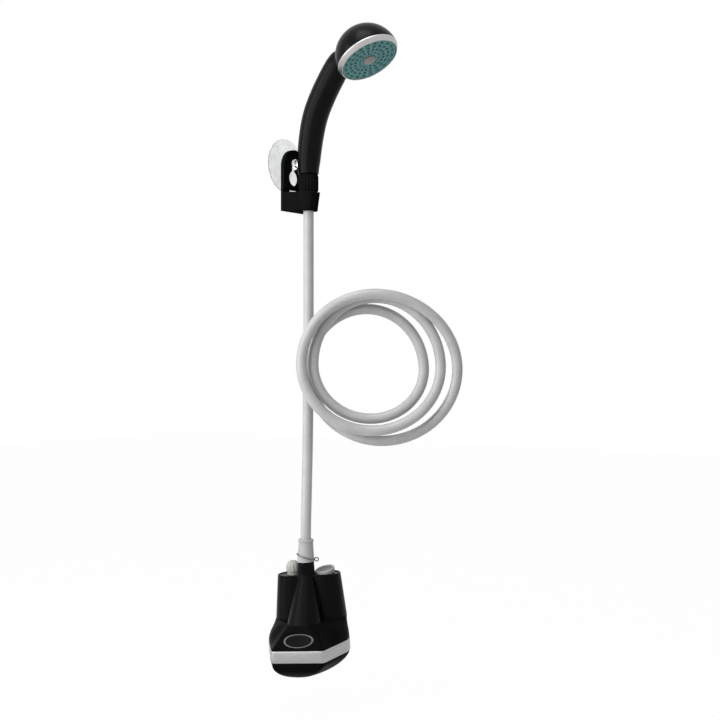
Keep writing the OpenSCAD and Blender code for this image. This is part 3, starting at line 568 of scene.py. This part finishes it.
# %% Handle
NUT_TOP = -14.6
HANDLE_FOOT_D, HANDLE_D, GRIP_AT = 25.0, 31.5, 7
NECK_TAPER = [0.97, 0.88, 0.64]
handle_line = np.array([[0, 0.3], [0, 9.5], [0.7, 17.5], [2, 30.5], [4.5, 46.5], [8.5, 63.5], [14, 78],
                        [21.5, 92], [29, 104], [37, 115.5], [45, 126.5], [50, 133], [55, 138]])
handle_path = spline(np.stack([0 * handle_line[:, 0], -AXIS_OUT - handle_line[:, 0],
                               handle_line[:, 1] + NUT_TOP], -1), 12)
way = np.linspace(0, len(handle_line) - 1, len(handle_path))
swell = np.minimum(way / GRIP_AT, 1)
neck = np.interp(way, [0, 9, 10, 11, 12], [1, 1] + NECK_TAPER)
handle_r = (HANDLE_FOOT_D + (HANDLE_D - HANDLE_FOOT_D) * swell * (2 - swell)) * neck / 2
lift = np.linalg.norm(handle_path - handle_path[0], axis=1)
FOOT_ROUND = 1.2
below = np.maximum(FOOT_ROUND - lift, 0)
handle_r = handle_r - FOOT_ROUND + np.sqrt(np.maximum(FOOT_ROUND ** 2 - below ** 2, 0))
skin("handle_grip", capped(tube(handle_path, handle_r, np.array([1.0, 0, 0]), 72)), "hand_shower",
     black_grip, "black_case", ("handle",))

# %% [markdown]
# The head: a domed back turned as a ball's cap, a silver ring with soft lips, and a seam between.
# All are turned profiles in the head's own frame, whose face lies at height zero.

# %% Head
FACE_OUT, FACE_RISE, FACE_TILT = 91.9, 125.9, 30.5
HEAD_D, RING_H, DOME_H, RING_W = 76.4, 7.0, 38.0, 3.7
SPRAY_D = HEAD_D - 2 * RING_W
HEAD_TURN = turn([1, 0, 0], -FACE_TILT)
HEAD_AT = AXIS + [0, -FACE_OUT, NUT_TOP + FACE_RISE]


def in_head(grid):
    """Points of the head's frame in the object's frame."""
    return grid @ HEAD_TURN.T + HEAD_AT


DOME_R = (HEAD_D ** 2 / 4 + DOME_H ** 2) / (2 * DOME_H)
DOME_Z = RING_H + DOME_H - DOME_R
dome_start = np.degrees(np.arctan2(RING_H + 0.5 - DOME_Z, HEAD_D / 2))
dome = np.concatenate([[[0, RING_H + 1], [HEAD_D / 2 - 2, RING_H + 0.3]],
                       arc(0, DOME_Z, DOME_R, dome_start, 90, 40)])
skin("head_back", in_head(lathe(dome, 128)), "hand_shower", black_grip, "black_case", ("head_shell",))
RING_RIM, LIP_R = 1.8, 0.6
outer, inner = HEAD_D / 2, SPRAY_D / 2 + 0.1
ring_profile = np.concatenate([
    [[inner, RING_H], [inner, LIP_R]], arc(inner + LIP_R, LIP_R, LIP_R, 180, 310),
    arc(outer - 1.0, RING_H - RING_RIM + 0.4, 1.0, -42, 0),
    [[outer, RING_H - 0.4], [outer - 0.4, RING_H], [inner, RING_H]]])
skin("head_ring", in_head(lathe(ring_profile, 128)), "hand_shower", ring_silver, "trim_silver",
     ("trim_ring",), crease=50)

# %% [markdown]
# The spray face is a teal plate with raised ribs that part it into cells, one nozzle in each. Bump
# could fake the ribs, but they show at the rim, so they are real: a polar grid whose height is the
# larger of two families of rounded ridges, spokes and circles. The same height also paints shade into
# the colour: dark down in the cells and pale on the raised ribs.

# %% Spray face
FACE_Z = 1.2
NOZZLE_D = 2.8
nozzle_rings = [(0.36, 10), (0.53, 20), (0.7, 20), (0.87, 20)]
SPOKES = 20
RIB_W, RIB_H = 0.55, 0.6
circles_mm = np.array([9.6, 15.4, 21.2, 27.1, 33.1])


def ridges(r, a):
    """Spokes and circles: exp(-(d / width)^2) of the distance to the nearest ridge line."""
    step = 2 * np.pi / SPOKES
    from_spoke = r * np.abs((a / step) % 1 - 0.5) * step
    spokes = np.exp(-(from_spoke / RIB_W) ** 2) * (r > circles_mm[0]) * (r < circles_mm[-1])
    from_circle = np.abs(r[..., None] - circles_mm).min(-1)
    return np.maximum(spokes, 0.7 * np.exp(-(from_circle / RIB_W) ** 2))


def teal_face():
    """Teal moulding with painted shade: dark in the recessed cells and pale on the raised ribs, by the
    point's own tag.
    """
    material, shader, flow = finish("teal_face", 0.4, Specular_IOR_Level=0.2)
    tag = flow.node("Attribute", {"attribute_name": "tag"}, {}, "Fac")
    cloud = grain(flow, 0.12, 3.0).over(0.3, 0.7)
    # painted shade: the rib height darkens the recessed cells and pales the raised ribs; the cloud adds
    # random tone
    shade = (tag * 0.85 + cloud * 0.15).over(0.08, 0.8)
    feed(shader, Base_Color=shade.mix((0.05, 0.21, 0.205, 1), (0.19, 0.4, 0.4, 1)),
         Roughness=0.36 + cloud * 0.12)
    return material


face_r = np.linspace(0, SPRAY_D / 2 - 0.3, 100)[:, None]
face_a = round_angles(480)[None]
# the ridge height shapes the ribs and also carries the painted shade of the face's colour
rib_height_and_shade = ridges(*np.broadcast_arrays(face_r, face_a))
face_grid = np.stack([face_r * np.cos(face_a), face_r * np.sin(face_a), FACE_Z - RIB_H * rib_height_and_shade], -1)
back_row = face_grid[-1:] * [1, 1, 0] + [0, 0, FACE_Z + 3.6]
face_grid = np.concatenate([face_grid, back_row, back_row * [0, 0, 1]])
rib_height_and_shade = np.concatenate([rib_height_and_shade, 0 * rib_height_and_shade[:2]])
skin("spray_face", in_head(face_grid), "hand_shower", teal_face(), "spray_teal", ("spray_plate",),
     tags=rib_height_and_shade)

nozzle_teal = moulding("nozzle_teal", (0.012, 0.07, 0.075), 0.45, 0.3, 0.02)
nozzle_shape = lathe([[0, FACE_Z + 1], [NOZZLE_D / 2, FACE_Z + 1], [NOZZLE_D / 2 - 0.25, FACE_Z - 0.5],
                      [NOZZLE_D / 2 - 0.6, FACE_Z - 1.0], [0.45, FACE_Z - 1.0], [0.4, FACE_Z - 0.2],
                      [0, FACE_Z - 0.2]], 14)
spots = np.concatenate([lathe([[q * SPRAY_D / 2, 0]], n)[0] for q, n in nozzle_rings])


def copies(shape, places):
    """One mesh of a shape set down at each place."""
    rows, cols = shape.shape[:2]
    quads = cells(rows, cols)
    points = (shape.reshape(1, -1, 3) + places[:, None]).reshape(-1, 3)
    faces = (quads[None] + np.arange(len(places))[:, None, None] * rows * cols).reshape(-1, 4)
    return points, faces


points, faces = copies(nozzle_shape, spots)
nozzle_mesh = bpy.data.meshes.new("nozzles")
nozzle_mesh.from_pydata((in_head(points) * MM).tolist(), [], faces.tolist())
settle(nozzle_mesh, "nozzles", "hand_shower", nozzle_teal, ("nozzle_mat",))

CAP_D = 15.0
cap_profile = np.concatenate([[[0, FACE_Z + 0.4], [CAP_D / 2 - 0.1, FACE_Z + 0.4]],
                              arc(CAP_D / 2 - 0.9, FACE_Z - 0.7, 0.9, 0, -80),
                              [[4.5, FACE_Z - 1.9], [2.0, FACE_Z - 2.05], [0, FACE_Z - 2.1]]])
skin("face_cap", in_head(lathe(cap_profile, 64)), "hand_shower", taupe_cap, "cap_taupe", ("centre_cap",))

# %% [markdown]
# The pump has its own leaning frame: the outlet at its origin, its flat front towards -Y. Its
# plan at the base is the outline that a string would take round an oval and two front corners.
# Such a string's distance in any direction is the least, over all tangent lines, of the line's
# distance from the centre over the cosine of the angle between, so no outline has to be traced.

# %% Pump frame and outlines
PUMP_LEAN, PUMP_YAW = 3.3, -65.0
PUMP_TURN = turn(VIEW_NEAR, PUMP_LEAN) @ turn(UP, PUMP_YAW)
PUMP_AT = on_view(PUMP_SIDE, PUMP_NEAR, NECK_Z)
FRONT_HALF, FRONT_OUT, BASE_HALF, BASE_BACK = 30.0, 65.0, 48.5, 38.0
SIDE_Y, CORNER_R = -5.0, 5.0
CELL_X, CELL_Y = 19.6, 13.0
CHAMBER_R, CHAMBER_FOOT_R = 19.0, 23.75
CONE_FRONT, CONE_R, NECK_R = 44.0, 20.0, 10.0
TOP_DROP, WAIST_DROP, BAND_DROP, BAND_H, DOME_DROP = 17.0, 67.5, 91.0, 15.0, 26.0
PUMP_COLS = 288
theta = round_angles(PUMP_COLS)
ray = np.stack([np.sin(theta), -np.cos(theta)], -1)


def in_pump(grid):
    """Points of the pump's frame in the object's frame."""
    return grid @ PUMP_TURN.T + PUMP_AT


def string_round(reach):
    """Distance to a taut string in each direction; reach(n) is its tangent distance along unit n."""
    phi = round_angles(720)
    tangent = reach(np.stack([np.sin(phi), -np.cos(phi)], -1))
    facing = np.cos(theta[:, None] - phi[None])
    return np.min(np.where(facing > 0.02, tangent / np.maximum(facing, 0.02), 1e9), 1)


def circle_reach(n, x, y, r):
    """Tangent distance of a circle."""
    return n @ np.array([x, y]) + r


def base_reach(n):
    """Base plan: an oval for the sides and back, and two rounded front corners."""
    oval = SIDE_Y * n[:, 1] + np.hypot(BASE_HALF * n[:, 0], (BASE_BACK - SIDE_Y) * n[:, 1])
    x, y = FRONT_HALF - CORNER_R + 2, CORNER_R - FRONT_OUT
    return np.maximum.reduce([oval, circle_reach(n, x, y, CORNER_R), circle_reach(n, -x, y, CORNER_R)])


def waist_reach(n):
    """Waist: both chambers and the foot of the cone."""
    left, right = (circle_reach(n, s * CELL_X, CELL_Y, CHAMBER_FOOT_R) for s in (-1, 1))
    return np.maximum.reduce([left, right, circle_reach(n, 0, CONE_R - CONE_FRONT, CONE_R)])


BASE = string_round(base_reach)
WAIST = string_round(waist_reach)


def rings(radius, drop):
    """Grid of rings: radius (rows, columns) along each ray, at a drop per row or point."""
    radius = np.atleast_2d(radius)
    z = -np.broadcast_to(np.asarray(drop, float).reshape(len(radius), -1), radius.shape)
    return np.concatenate([radius[..., None] * ray, z[..., None]], -1)


def solid_of(name, grid, material, slot, stands_for, body="hose_and_pump", **more):
    """A pump skin, closed at both ends."""
    return skin(name, in_pump(capped(grid)), body, material, slot, stands_for, **more)


print("base", BASE.min().round(1), BASE.max().round(1))

# %% [markdown]
# Upper housing: two battery chambers and the cone that runs down from the neck. Along each ray the
# wall stands where the last of these forms ends. A soft maximum, the logarithm of a sum of
# exponentials, takes the place of a hard one, so the forms flow together with small fillets, as
# on a moulded shell. From the neck the skin runs over the chamber tops, round their rims and down.

# %% Upper housing
BLOCK_BACK = 27.0
SOFT = 0.9


def circle_end(x, y, r):
    """Where a ray leaves a circle: b + sqrt(r^2 - c^2 + b^2), mirrored where the ray misses it."""
    along = ray @ np.array([x, y])
    inside = r * r - x * x - y * y + along ** 2
    return along + np.sign(inside) * np.sqrt(np.abs(inside))


def housing_forms(drop):
    """Ends of the chambers, the cone and the block between, at a drop below the outlet."""
    f = (drop - TOP_DROP) / (WAIST_DROP - TOP_DROP)
    g = np.clip((drop - TOP_DROP + 2) / (WAIST_DROP - TOP_DROP + 2), 0, 1)
    r = CHAMBER_R + (CHAMBER_FOOT_R - CHAMBER_R) * f
    chambers = np.maximum(circle_end(CELL_X, CELL_Y, r), circle_end(-CELL_X, CELL_Y, r))
    cone = circle_end(0, (CONE_R - CONE_FRONT) * g, NECK_R + (CONE_R - NECK_R) * g)
    behind = np.maximum(ray[:, 1], 1e-3)
    beside = np.maximum(np.abs(ray[:, 0]), 1e-3)
    block = np.where(ray[:, 1] > 0, np.minimum(BLOCK_BACK / behind, CELL_X / beside), 0)
    return chambers, cone, block


def housing_wall(drop):
    """Soft maximum of the forms."""
    forms = np.stack(housing_forms(drop))
    top = forms.max(0)
    return top + np.log(np.exp(SOFT * (forms - top)).sum(0)) / SOFT


top_wall = housing_wall(TOP_DROP)
chamber_end, cone_end, between_end = housing_forms(TOP_DROP)
has_rim = np.clip((np.maximum(chamber_end, between_end) - cone_end) / 4, 0, 1)
fillet = np.minimum(NECK_R + 3, top_wall)
NECK_STEPS = ((0.8, 0.0), (0.2, 0.15), (0, 0.7), (0, 5), (0, 10), (0, 13))
RIM_STEPS = ((2.2, 0.0), (2.0, -0.7), (1.5, -1.0), (0.7, -0.95), (0.15, -0.5), (0.0, 0.3), (0.0, 1.6),
             (0.45, 1.9), (0.45, 2.3), (0.0, 2.6))
rows, drops = [], []
for inset, z in NECK_STEPS:
    rows.append(np.full(PUMP_COLS, NECK_R - inset))
    drops.append(np.full(PUMP_COLS, z))
for a in np.radians(np.linspace(0, 90, 7)):
    rows.append(NECK_R + (fillet - NECK_R) * (1 - np.cos(a)))
    drops.append(np.full(PUMP_COLS, TOP_DROP - 3 + 3 * np.sin(a)))
for s in (0.25, 0.5, 0.75, 0.9):
    rows.append(fillet + (top_wall - 2.6 * has_rim - fillet) * s)
    drops.append(np.full(PUMP_COLS, TOP_DROP))
for inset, z in RIM_STEPS:
    rows.append(np.maximum(housing_wall(TOP_DROP + max(z, 0)) - inset * has_rim, fillet))
    drops.append(TOP_DROP + np.where(has_rim > 0, z * has_rim, 0) + (1 - has_rim) * max(z, 0))
for z in np.linspace(TOP_DROP + 4, WAIST_DROP, 40):
    rows.append(housing_wall(z))
    drops.append(np.full(PUMP_COLS, z))
rows.append(rows[-1] - 1.5)
drops.append(np.full(PUMP_COLS, WAIST_DROP + 0.6))
housing = solid_of("pump_shell", rings(np.stack(rows), np.stack(drops)), black_case, "black_case",
                   ("pump_housing",))

# %% [markdown]
# The pockets for the button and the charging socket are bored with a Boolean modifier, as the
# mould's cores would. It is applied at once, so that only the finished mesh is left.

# %% Pockets
BUTTON_D, SOCKET_D, POCKET = 14.6, 11.0, 8.9


def bore(piece, x, y, d, depth):
    """Cuts a round pocket from the chamber top downwards."""
    foot, top = -TOP_DROP - depth, 6 - TOP_DROP
    profile = [[0, foot], [d / 2, foot], [d / 2, top], [0, top]]
    grid = in_pump(lathe(profile, 48) + [x, y, 0])
    cutter = skin("cutter", grid, "hose_and_pump", black_case)
    cut = piece.modifiers.new("bore", "BOOLEAN")
    cut.object = cutter
    cut.solver = "EXACT"
    with bpy.context.temp_override(object=piece, active_object=piece):
        bpy.ops.object.modifier_apply(modifier="bore")
    bpy.data.objects.remove(cutter)


bore(housing, -CELL_X, CELL_Y, BUTTON_D + 0.6, POCKET)
bore(housing, CELL_X, CELL_Y, SOCKET_D, POCKET)
housing.data.set_sharp_from_angle(angle=np.radians(40))
print("pockets bored,", len(housing.data.polygons), "faces")

# %% [markdown]
# Lower hull, band and base share the base plan. The hull flares from the waist: straight at the
# front, where the oval plate lies, and with a round shoulder at the sides. The band is a strip of
# brushed sheet with rolled edges. The base is a dome with ring grooves that let the water in.

# %% Lower hull
HULL_ROWS = 26
SHOULDER_FROM, SHOULDER_SPAN, SHOULDER_POWER = np.radians(32), np.radians(30), 2.2
turned = np.abs(((theta + np.pi) % (2 * np.pi)) - np.pi)
shoulder = np.clip((turned - SHOULDER_FROM) / SHOULDER_SPAN, 0, 1)
shoulder = shoulder * shoulder * (3 - 2 * shoulder)


def hull_wall(t):
    """Wall at a share t of the way from waist to band: t at the front, 1 - (1 - t)^2.2 at the sides."""
    t = np.asarray(t, float)[..., None]
    share = t * (1 - shoulder) + (1 - (1 - t) ** SHOULDER_POWER) * shoulder
    return WAIST + (BASE - WAIST) * share


hull_t = np.linspace(0, 1, HULL_ROWS)
hull_rows = np.concatenate([[WAIST - 1.2], hull_wall(hull_t), [BASE - 1.0]])
hull_drops = WAIST_DROP + (BAND_DROP - WAIST_DROP) * hull_t
hull_drops = np.concatenate([[WAIST_DROP - 0.1], hull_drops, [BAND_DROP + 0.7]])
solid_of("hull_shell", rings(hull_rows, hull_drops), black_hull, "black_case", ("lower_hull",))

# %% Band
band_out = np.array([-1.6, -0.5, 0.05, 0.3, 0.3, 0.3, 0.3, 0.05, -0.5, -1.6])
band_down = np.array([0.75, 0.7, 0.95, 1.6, 5.5, 9.5, 13.4, 14.3, 14.8, 14.9])
band_grid = rings(BASE + band_out[:, None], BAND_DROP + band_down)
girth = np.concatenate([[0], np.cumsum(np.linalg.norm(np.diff(band_grid[4], axis=0), axis=1))])
band_uv = np.stack(np.broadcast_arrays(girth[None], band_down[:, None]), -1)
band_uv = np.concatenate([band_uv[:1], band_uv, band_uv[-1:]])
solid_of("pump_band", band_grid, band_metal, "trim_silver", ("trim_band",), uv_mm=band_uv, crease=50)

# %% Base
DOME_POWER, LOW_POWER = 1.9, 1.4
ROUND_R, BASE_LOW = 46.0, (-9.5, -19.0)
GROOVES, GROOVE_DEPTH, GROOVE_FROM, GROOVE_TO = 7, 1.3, 0.34, 0.985
dome_h = np.concatenate([np.linspace(0, 0.9, 70), 0.9 + 0.1 * np.sin(np.linspace(0.02, np.pi / 2, 60))])
grooves = np.cos(2 * np.pi * GROOVES * (dome_h - 0.3) / 0.7)
grooved = (dome_h > GROOVE_FROM) * (dome_h < GROOVE_TO)
groove_in = GROOVE_DEPTH * np.clip(-grooves * 1.6 - 0.4, 0, 1) * grooved
dome_share = np.maximum(1 - dome_h ** DOME_POWER, 0) ** (1 / DOME_POWER)
round_off = dome_h[:, None] ** 2
dome_wall = (BASE - 0.5 + (ROUND_R - BASE) * round_off) * dome_share[:, None]
base_centre = np.array(BASE_LOW) * dome_h[:, None] ** LOW_POWER
base_grid = rings(dome_wall - groove_in[:, None], BAND_DROP + BAND_H + DOME_DROP * dome_h)
base_grid[..., :2] += base_centre[:, None]
solid_of("pump_base", base_grid, black_hull, "black_case", ("intake_base",))

# %% [markdown]
# The oval plate follows the hull's front. Each of its points is given by millimetres across and
# along the slope; the direction whose wall lies that far across is found by a few rounds of
# angle = arcsin(across / wall), which settle quickly near the front. The plate stays bare.

# %% Oval plate
BADGE_W, BADGE_H, BADGE_SHARE = 36.0, 18.0, 0.62
front_theta = (theta + np.pi) % (2 * np.pi) - np.pi
order = np.argsort(front_theta)


def wall_at(angle, t):
    """Hull wall at any angle near the front, between the samples of the waist and base plans."""
    low, high = (np.interp(angle, front_theta[order], plan[order]) for plan in (WAIST, BASE))
    return low + (high - low) * t


def plate_paint():
    """Black plate with a pale printed line, by the point's own tag."""
    material, shader, flow = finish("plate_paint", 0.4, Specular_IOR_Level=0.035)
    tag = flow.node("Attribute", {"attribute_name": "tag"}, {}, "Fac")
    cloud = grain(flow, 0.3, 2.0)
    feed(shader, Base_Color=(tag + cloud * 0.02).mix(grey(0.003), grey(0.16)), Roughness=0.34 + cloud * 0.12)
    return material


slope = np.array([0.0, WAIST_DROP - BAND_DROP, -(FRONT_OUT - CONE_FRONT)])
slope_mm = np.linalg.norm(slope)
plate_share = np.array([0, 0.3, 0.6, 0.8, 0.86, 0.88, 0.9, 0.945, 0.965, 0.985, 1.0, 1.0])
plate_lift = np.array([0.5, 0.5, 0.5, 0.5, 0.5, 0.6, 0.75, 0.75, 0.7, 0.5, 0.2, -0.6])
plate_tag = np.array([0, 0, 0, 0, 0, 1, 1, 1, 1, 0.2, 0, 0])
plate_a = round_angles(96)[None]
across = BADGE_W / 2 * plate_share[:, None] * np.cos(plate_a)
plate_t = BADGE_SHARE - BADGE_H / 2 * plate_share[:, None] * np.sin(plate_a) / slope_mm
angle = np.zeros_like(across)
for _ in range(6):
    angle = np.arcsin(across / wall_at(angle, plate_t))
reach = wall_at(angle, plate_t)
plate = np.stack([reach * np.sin(angle), -reach * np.cos(angle),
                  -WAIST_DROP - (BAND_DROP - WAIST_DROP) * plate_t], -1)
plate += plate_lift[:, None, None] * np.array([0, slope[1], -slope[2]]) / slope_mm
plate = np.concatenate([plate, np.broadcast_to(plate[-1].mean(0), plate[-1:].shape)])
plate_tags = np.broadcast_to(np.append(plate_tag, 0)[:, None], plate.shape[:2])
skin("oval_plate", in_pump(plate), "hose_and_pump", plate_paint(), "black_case", ("badge",), tags=plate_tags)

# %% [markdown]
# Small pieces on the chambers: the rubber push button, like a thumb, on the left and the dished
# charging cover, with its tab and hinge, on the right. Blocks are superellipsoids: the sine and
# cosine of a ball's formula raised to a power below one, which squares it off with round edges.

# %% Button and cover
BUTTON_FOOT = 19.4
CAP_OUT, FLUTES, FLUTE_DEPTH = 1.0, 12, 0.07
COVER_D, COVER_T, DISH_D = 24.0, 6.0, 18.0
GAP = 0.3
HINGE_Y, HINGE_DROP, TAB_W, EAR_T = 27.5, 13.7, 8.0, 3.0
TOP_TILT, SIDE_TILT = 0.2, 0.14


def power(values, exponent):
    """Signed power."""
    return np.sign(values) * np.abs(values) ** exponent


def block(centre, half, squareness=0.25):
    """Superellipsoid: half sizes times products of signed powers of sine and cosine."""
    v = np.linspace(-np.pi / 2, np.pi / 2, 25)[:, None]
    u = round_angles(40)[None]
    unit = np.stack(np.broadcast_arrays(power(np.cos(v), squareness) * power(np.cos(u), squareness),
                                        power(np.cos(v), squareness) * power(np.sin(u), squareness),
                                        power(np.sin(v), squareness)), -1)
    return np.asarray(centre, float) + unit * np.asarray(half, float)


def barrel(centre, d, length):
    """Short cylinder with rounded rims along X."""
    r, h, rim = d / 2, length / 2, 0.4
    profile = np.concatenate([[[0, -h]], arc(r - rim, rim - h, rim, -90, 0, 4),
                              arc(r - rim, h - rim, rim, 0, 90, 4), [[0, h]]])
    return lathe(profile, 32)[..., [2, 0, 1]] + np.asarray(centre, float)


def cover_rubber():
    """Grey rubber with painted shade that darkens the dished top, by the point's own tag."""
    material, shader, flow = finish("cover_rubber", 0.5, Specular_IOR_Level=0.1)
    tag = flow.node("Attribute", {"attribute_name": "tag"}, {}, "Fac")
    cloud = grain(flow, 0.25, 3.0).over(0.3, 0.7)
    spark = grain(flow, 2.5, 1.0)
    # painted shade: the tag darkens the recessed dish; the cloud adds random tone
    shade = tag * 0.8 + cloud * 0.2
    feed(shader, Base_Color=shade.mix(grey(0.47), grey(0.2)), Roughness=0.42 + spark * 0.14,
         Normal=bump(flow, spark, 0.02))
    return material


crown = np.radians(np.linspace(0, 90, 14))
button_r = BUTTON_D / 2
button_profile = np.concatenate([
    [[0, -BUTTON_FOOT], [button_r - 0.3, -BUTTON_FOOT], [button_r, 0.3 - BUTTON_FOOT], [button_r, -14.0],
     [button_r + CAP_OUT, -13.0], [button_r + CAP_OUT, -10.0]],
    np.stack([(button_r + CAP_OUT) * np.cos(crown) ** 0.8, -8.4 + 8.4 * np.sin(crown)], -1)])
button_grid = lathe(button_profile, 96)
flute = 1 - FLUTE_DEPTH * (0.5 + 0.5 * np.cos(FLUTES * round_angles(96)))[None, :, None]
on_side = np.clip(button_grid[..., 2:] + 14, 0, 1) * np.clip(-button_grid[..., 2:] / 3, 0, 1)
button_grid[..., :2] *= 1 + (flute - 1) * on_side
skin("button_cap", in_pump(button_grid + [-CELL_X, CELL_Y, 0]), "push_button", button_grey,
     "button_grey", ("switch_button",))

cover_r, dish_r = COVER_D / 2, DISH_D / 2
cover_foot = GAP - TOP_DROP
cover_top = cover_foot + COVER_T
socket_rim = SOCKET_D / 2 + 1
under = [[0, cover_foot + 2], [socket_rim, cover_foot + 2], [socket_rim, cover_foot],
         [cover_r - 0.5, cover_foot], [cover_r, cover_foot + 0.5], [cover_r, cover_top - 2.2]]
rim = np.concatenate([arc(cover_r - 1.5, cover_top - 1.5, 1.5, 10, 110, 8),
                      [[dish_r + 0.3, cover_top - 0.4], [dish_r - 0.2, cover_top - 1.0],
                       [dish_r - 0.9, cover_top - 1.2]]])
dish = [[4.0, cover_top - 1.35], [0, cover_top - 1.4]]
cover_grid = lathe(np.concatenate([under, rim, dish]), 72)
# the dish rows carry the painted shade of the cover's colour
dish_shade_mask = np.zeros(cover_grid.shape[:2])
dish_shade_mask[-4:] = 1.0
above = np.clip((cover_grid[..., 2] - cover_foot - 1) / (COVER_T - 1), 0, 1)
cover_grid[..., 2] += (TOP_TILT * cover_grid[..., 1] + SIDE_TILT * cover_grid[..., 0]) * above
cover_skin = cover_rubber()
skin("cover_cap", in_pump(cover_grid + [CELL_X, CELL_Y, 0]), "charging_cover", cover_skin, "button_grey",
     ("charge_cover",), tags=dish_shade_mask)
tab = block([CELL_X - cover_r - 0.2, CELL_Y, cover_foot + 1.5], [2.2, 2.2, 1.4])
web_y = (CELL_Y + cover_r - 1 + HINGE_Y) / 2
web = block([CELL_X, web_y, -HINGE_DROP], [TAB_W / 2, HINGE_Y - web_y, 1.4])
for name, grid in (("cover_tab", tab), ("cover_web", web)):
    skin(name, in_pump(grid), "charging_cover", cover_skin, "button_grey", ("charge_cover",),
         tags=np.zeros(grid.shape[:2]))
knuckle = barrel([CELL_X, HINGE_Y, -HINGE_DROP], 4.0, TAB_W)
skin("cover_barrel", in_pump(knuckle), "charging_cover", button_grey, "button_grey", ("charge_cover",))
for side, name in ((-1, "ear_left"), (1, "ear_right")):
    ear_x = CELL_X + side * (TAB_W + EAR_T + 2 * GAP) / 2
    skin(name, in_pump(block([ear_x, HINGE_Y, -TOP_DROP + 2.15], [EAR_T / 2, 2, 3.15])), "hose_and_pump",
         black_case, "black_case", ("pump_housing",))

# %% [markdown]
# The sleeve over the hose's end hangs straight, but the neck under it leans. So it is a turned
# profile whose lower points slide down to the neck's plane: the drop of each is worked out from
# that plane, and it fades out towards the top. The clip is a wire ring with an ear at the right.

# %% Sleeve and clip
SLEEVE_D, SLEEVE_TOP_D, STEP_H, STEP_OUT = 20.6, 18.8, 3.0, 0.7
WIRE_D, CLIP_LIFT, EAR_R = 1.4, 6.0, 2.2
CLIP_RISE = -0.3
sleeve_r, shank_r, lip_r = SLEEVE_D / 2, SLEEVE_TOP_D / 2 - STEP_OUT, SLEEVE_TOP_D / 2
step_z = SLEEVE_H - STEP_H
sleeve_profile = np.concatenate([
    [[0, 0.1], [sleeve_r - 0.4, 0.1], [sleeve_r - 0.1, 0.4], [sleeve_r - 0.15, 1.2]],
    np.stack([np.linspace(sleeve_r - 0.4, shank_r, 12), np.linspace(4, step_z - 0.4, 12)], -1),
    arc(lip_r - 0.5, step_z + 0.5, 0.5, -80, 0, 5), arc(lip_r - 0.8, SLEEVE_H - 0.8, 0.8, 0, 90, 5),
    [[HOSE_D / 2 + 0.15, SLEEVE_H], [HOSE_D / 2 - 0.3, SLEEVE_H - 1.5], [0, SLEEVE_H - 1.5]]])
sleeve_grid = lathe(sleeve_profile, 96)
plane = PUMP_TURN[:, 2]
to_plane = -(sleeve_grid[..., 0] * plane[0] + sleeve_grid[..., 1] * plane[1]) / plane[2]
sleeve_grid[..., 2] += to_plane * np.clip(1 - sleeve_grid[..., 2] / SLEEVE_H, 0, 1)
skin("sleeve", sleeve_grid + PUMP_AT, "hose_and_pump", sleeve_grey, "sleeve_grey", ("hose_sleeve",))

clip_r = np.interp(CLIP_LIFT, [0, step_z], [sleeve_r, shank_r]) + WIRE_D / 2 + 0.1
ring_a = round_angles(96)[:, None]
ring_line = clip_r * (np.cos(ring_a) * (VIEW_RIGHT + CLIP_RISE * UP) + np.sin(ring_a) * VIEW_NEAR)
loop_a = np.linspace(-np.pi, np.pi, 48, endpoint=False)[:, None]
loop_line = EAR_R * ((1 + np.cos(loop_a)) * VIEW_RIGHT + np.sin(loop_a) * UP)
loop_line = loop_line + clip_r * (VIEW_RIGHT + CLIP_RISE * UP)


def wire(name, line, square):
    """Closed wire ring along a line of points, drawn square to a fixed direction."""
    path = np.concatenate([line[-1:], line, line[:2]])
    grid = tube(path, WIRE_D / 2, square, 12)[1:-1] + PUMP_AT + [0, 0, CLIP_LIFT]
    skin(name, grid, "hose_and_pump", wire_dark, "wire_steel", ("hose_clip",))


wire("clip_ring", ring_line, UP)
wire("clip_ear", loop_line, VIEW_NEAR)
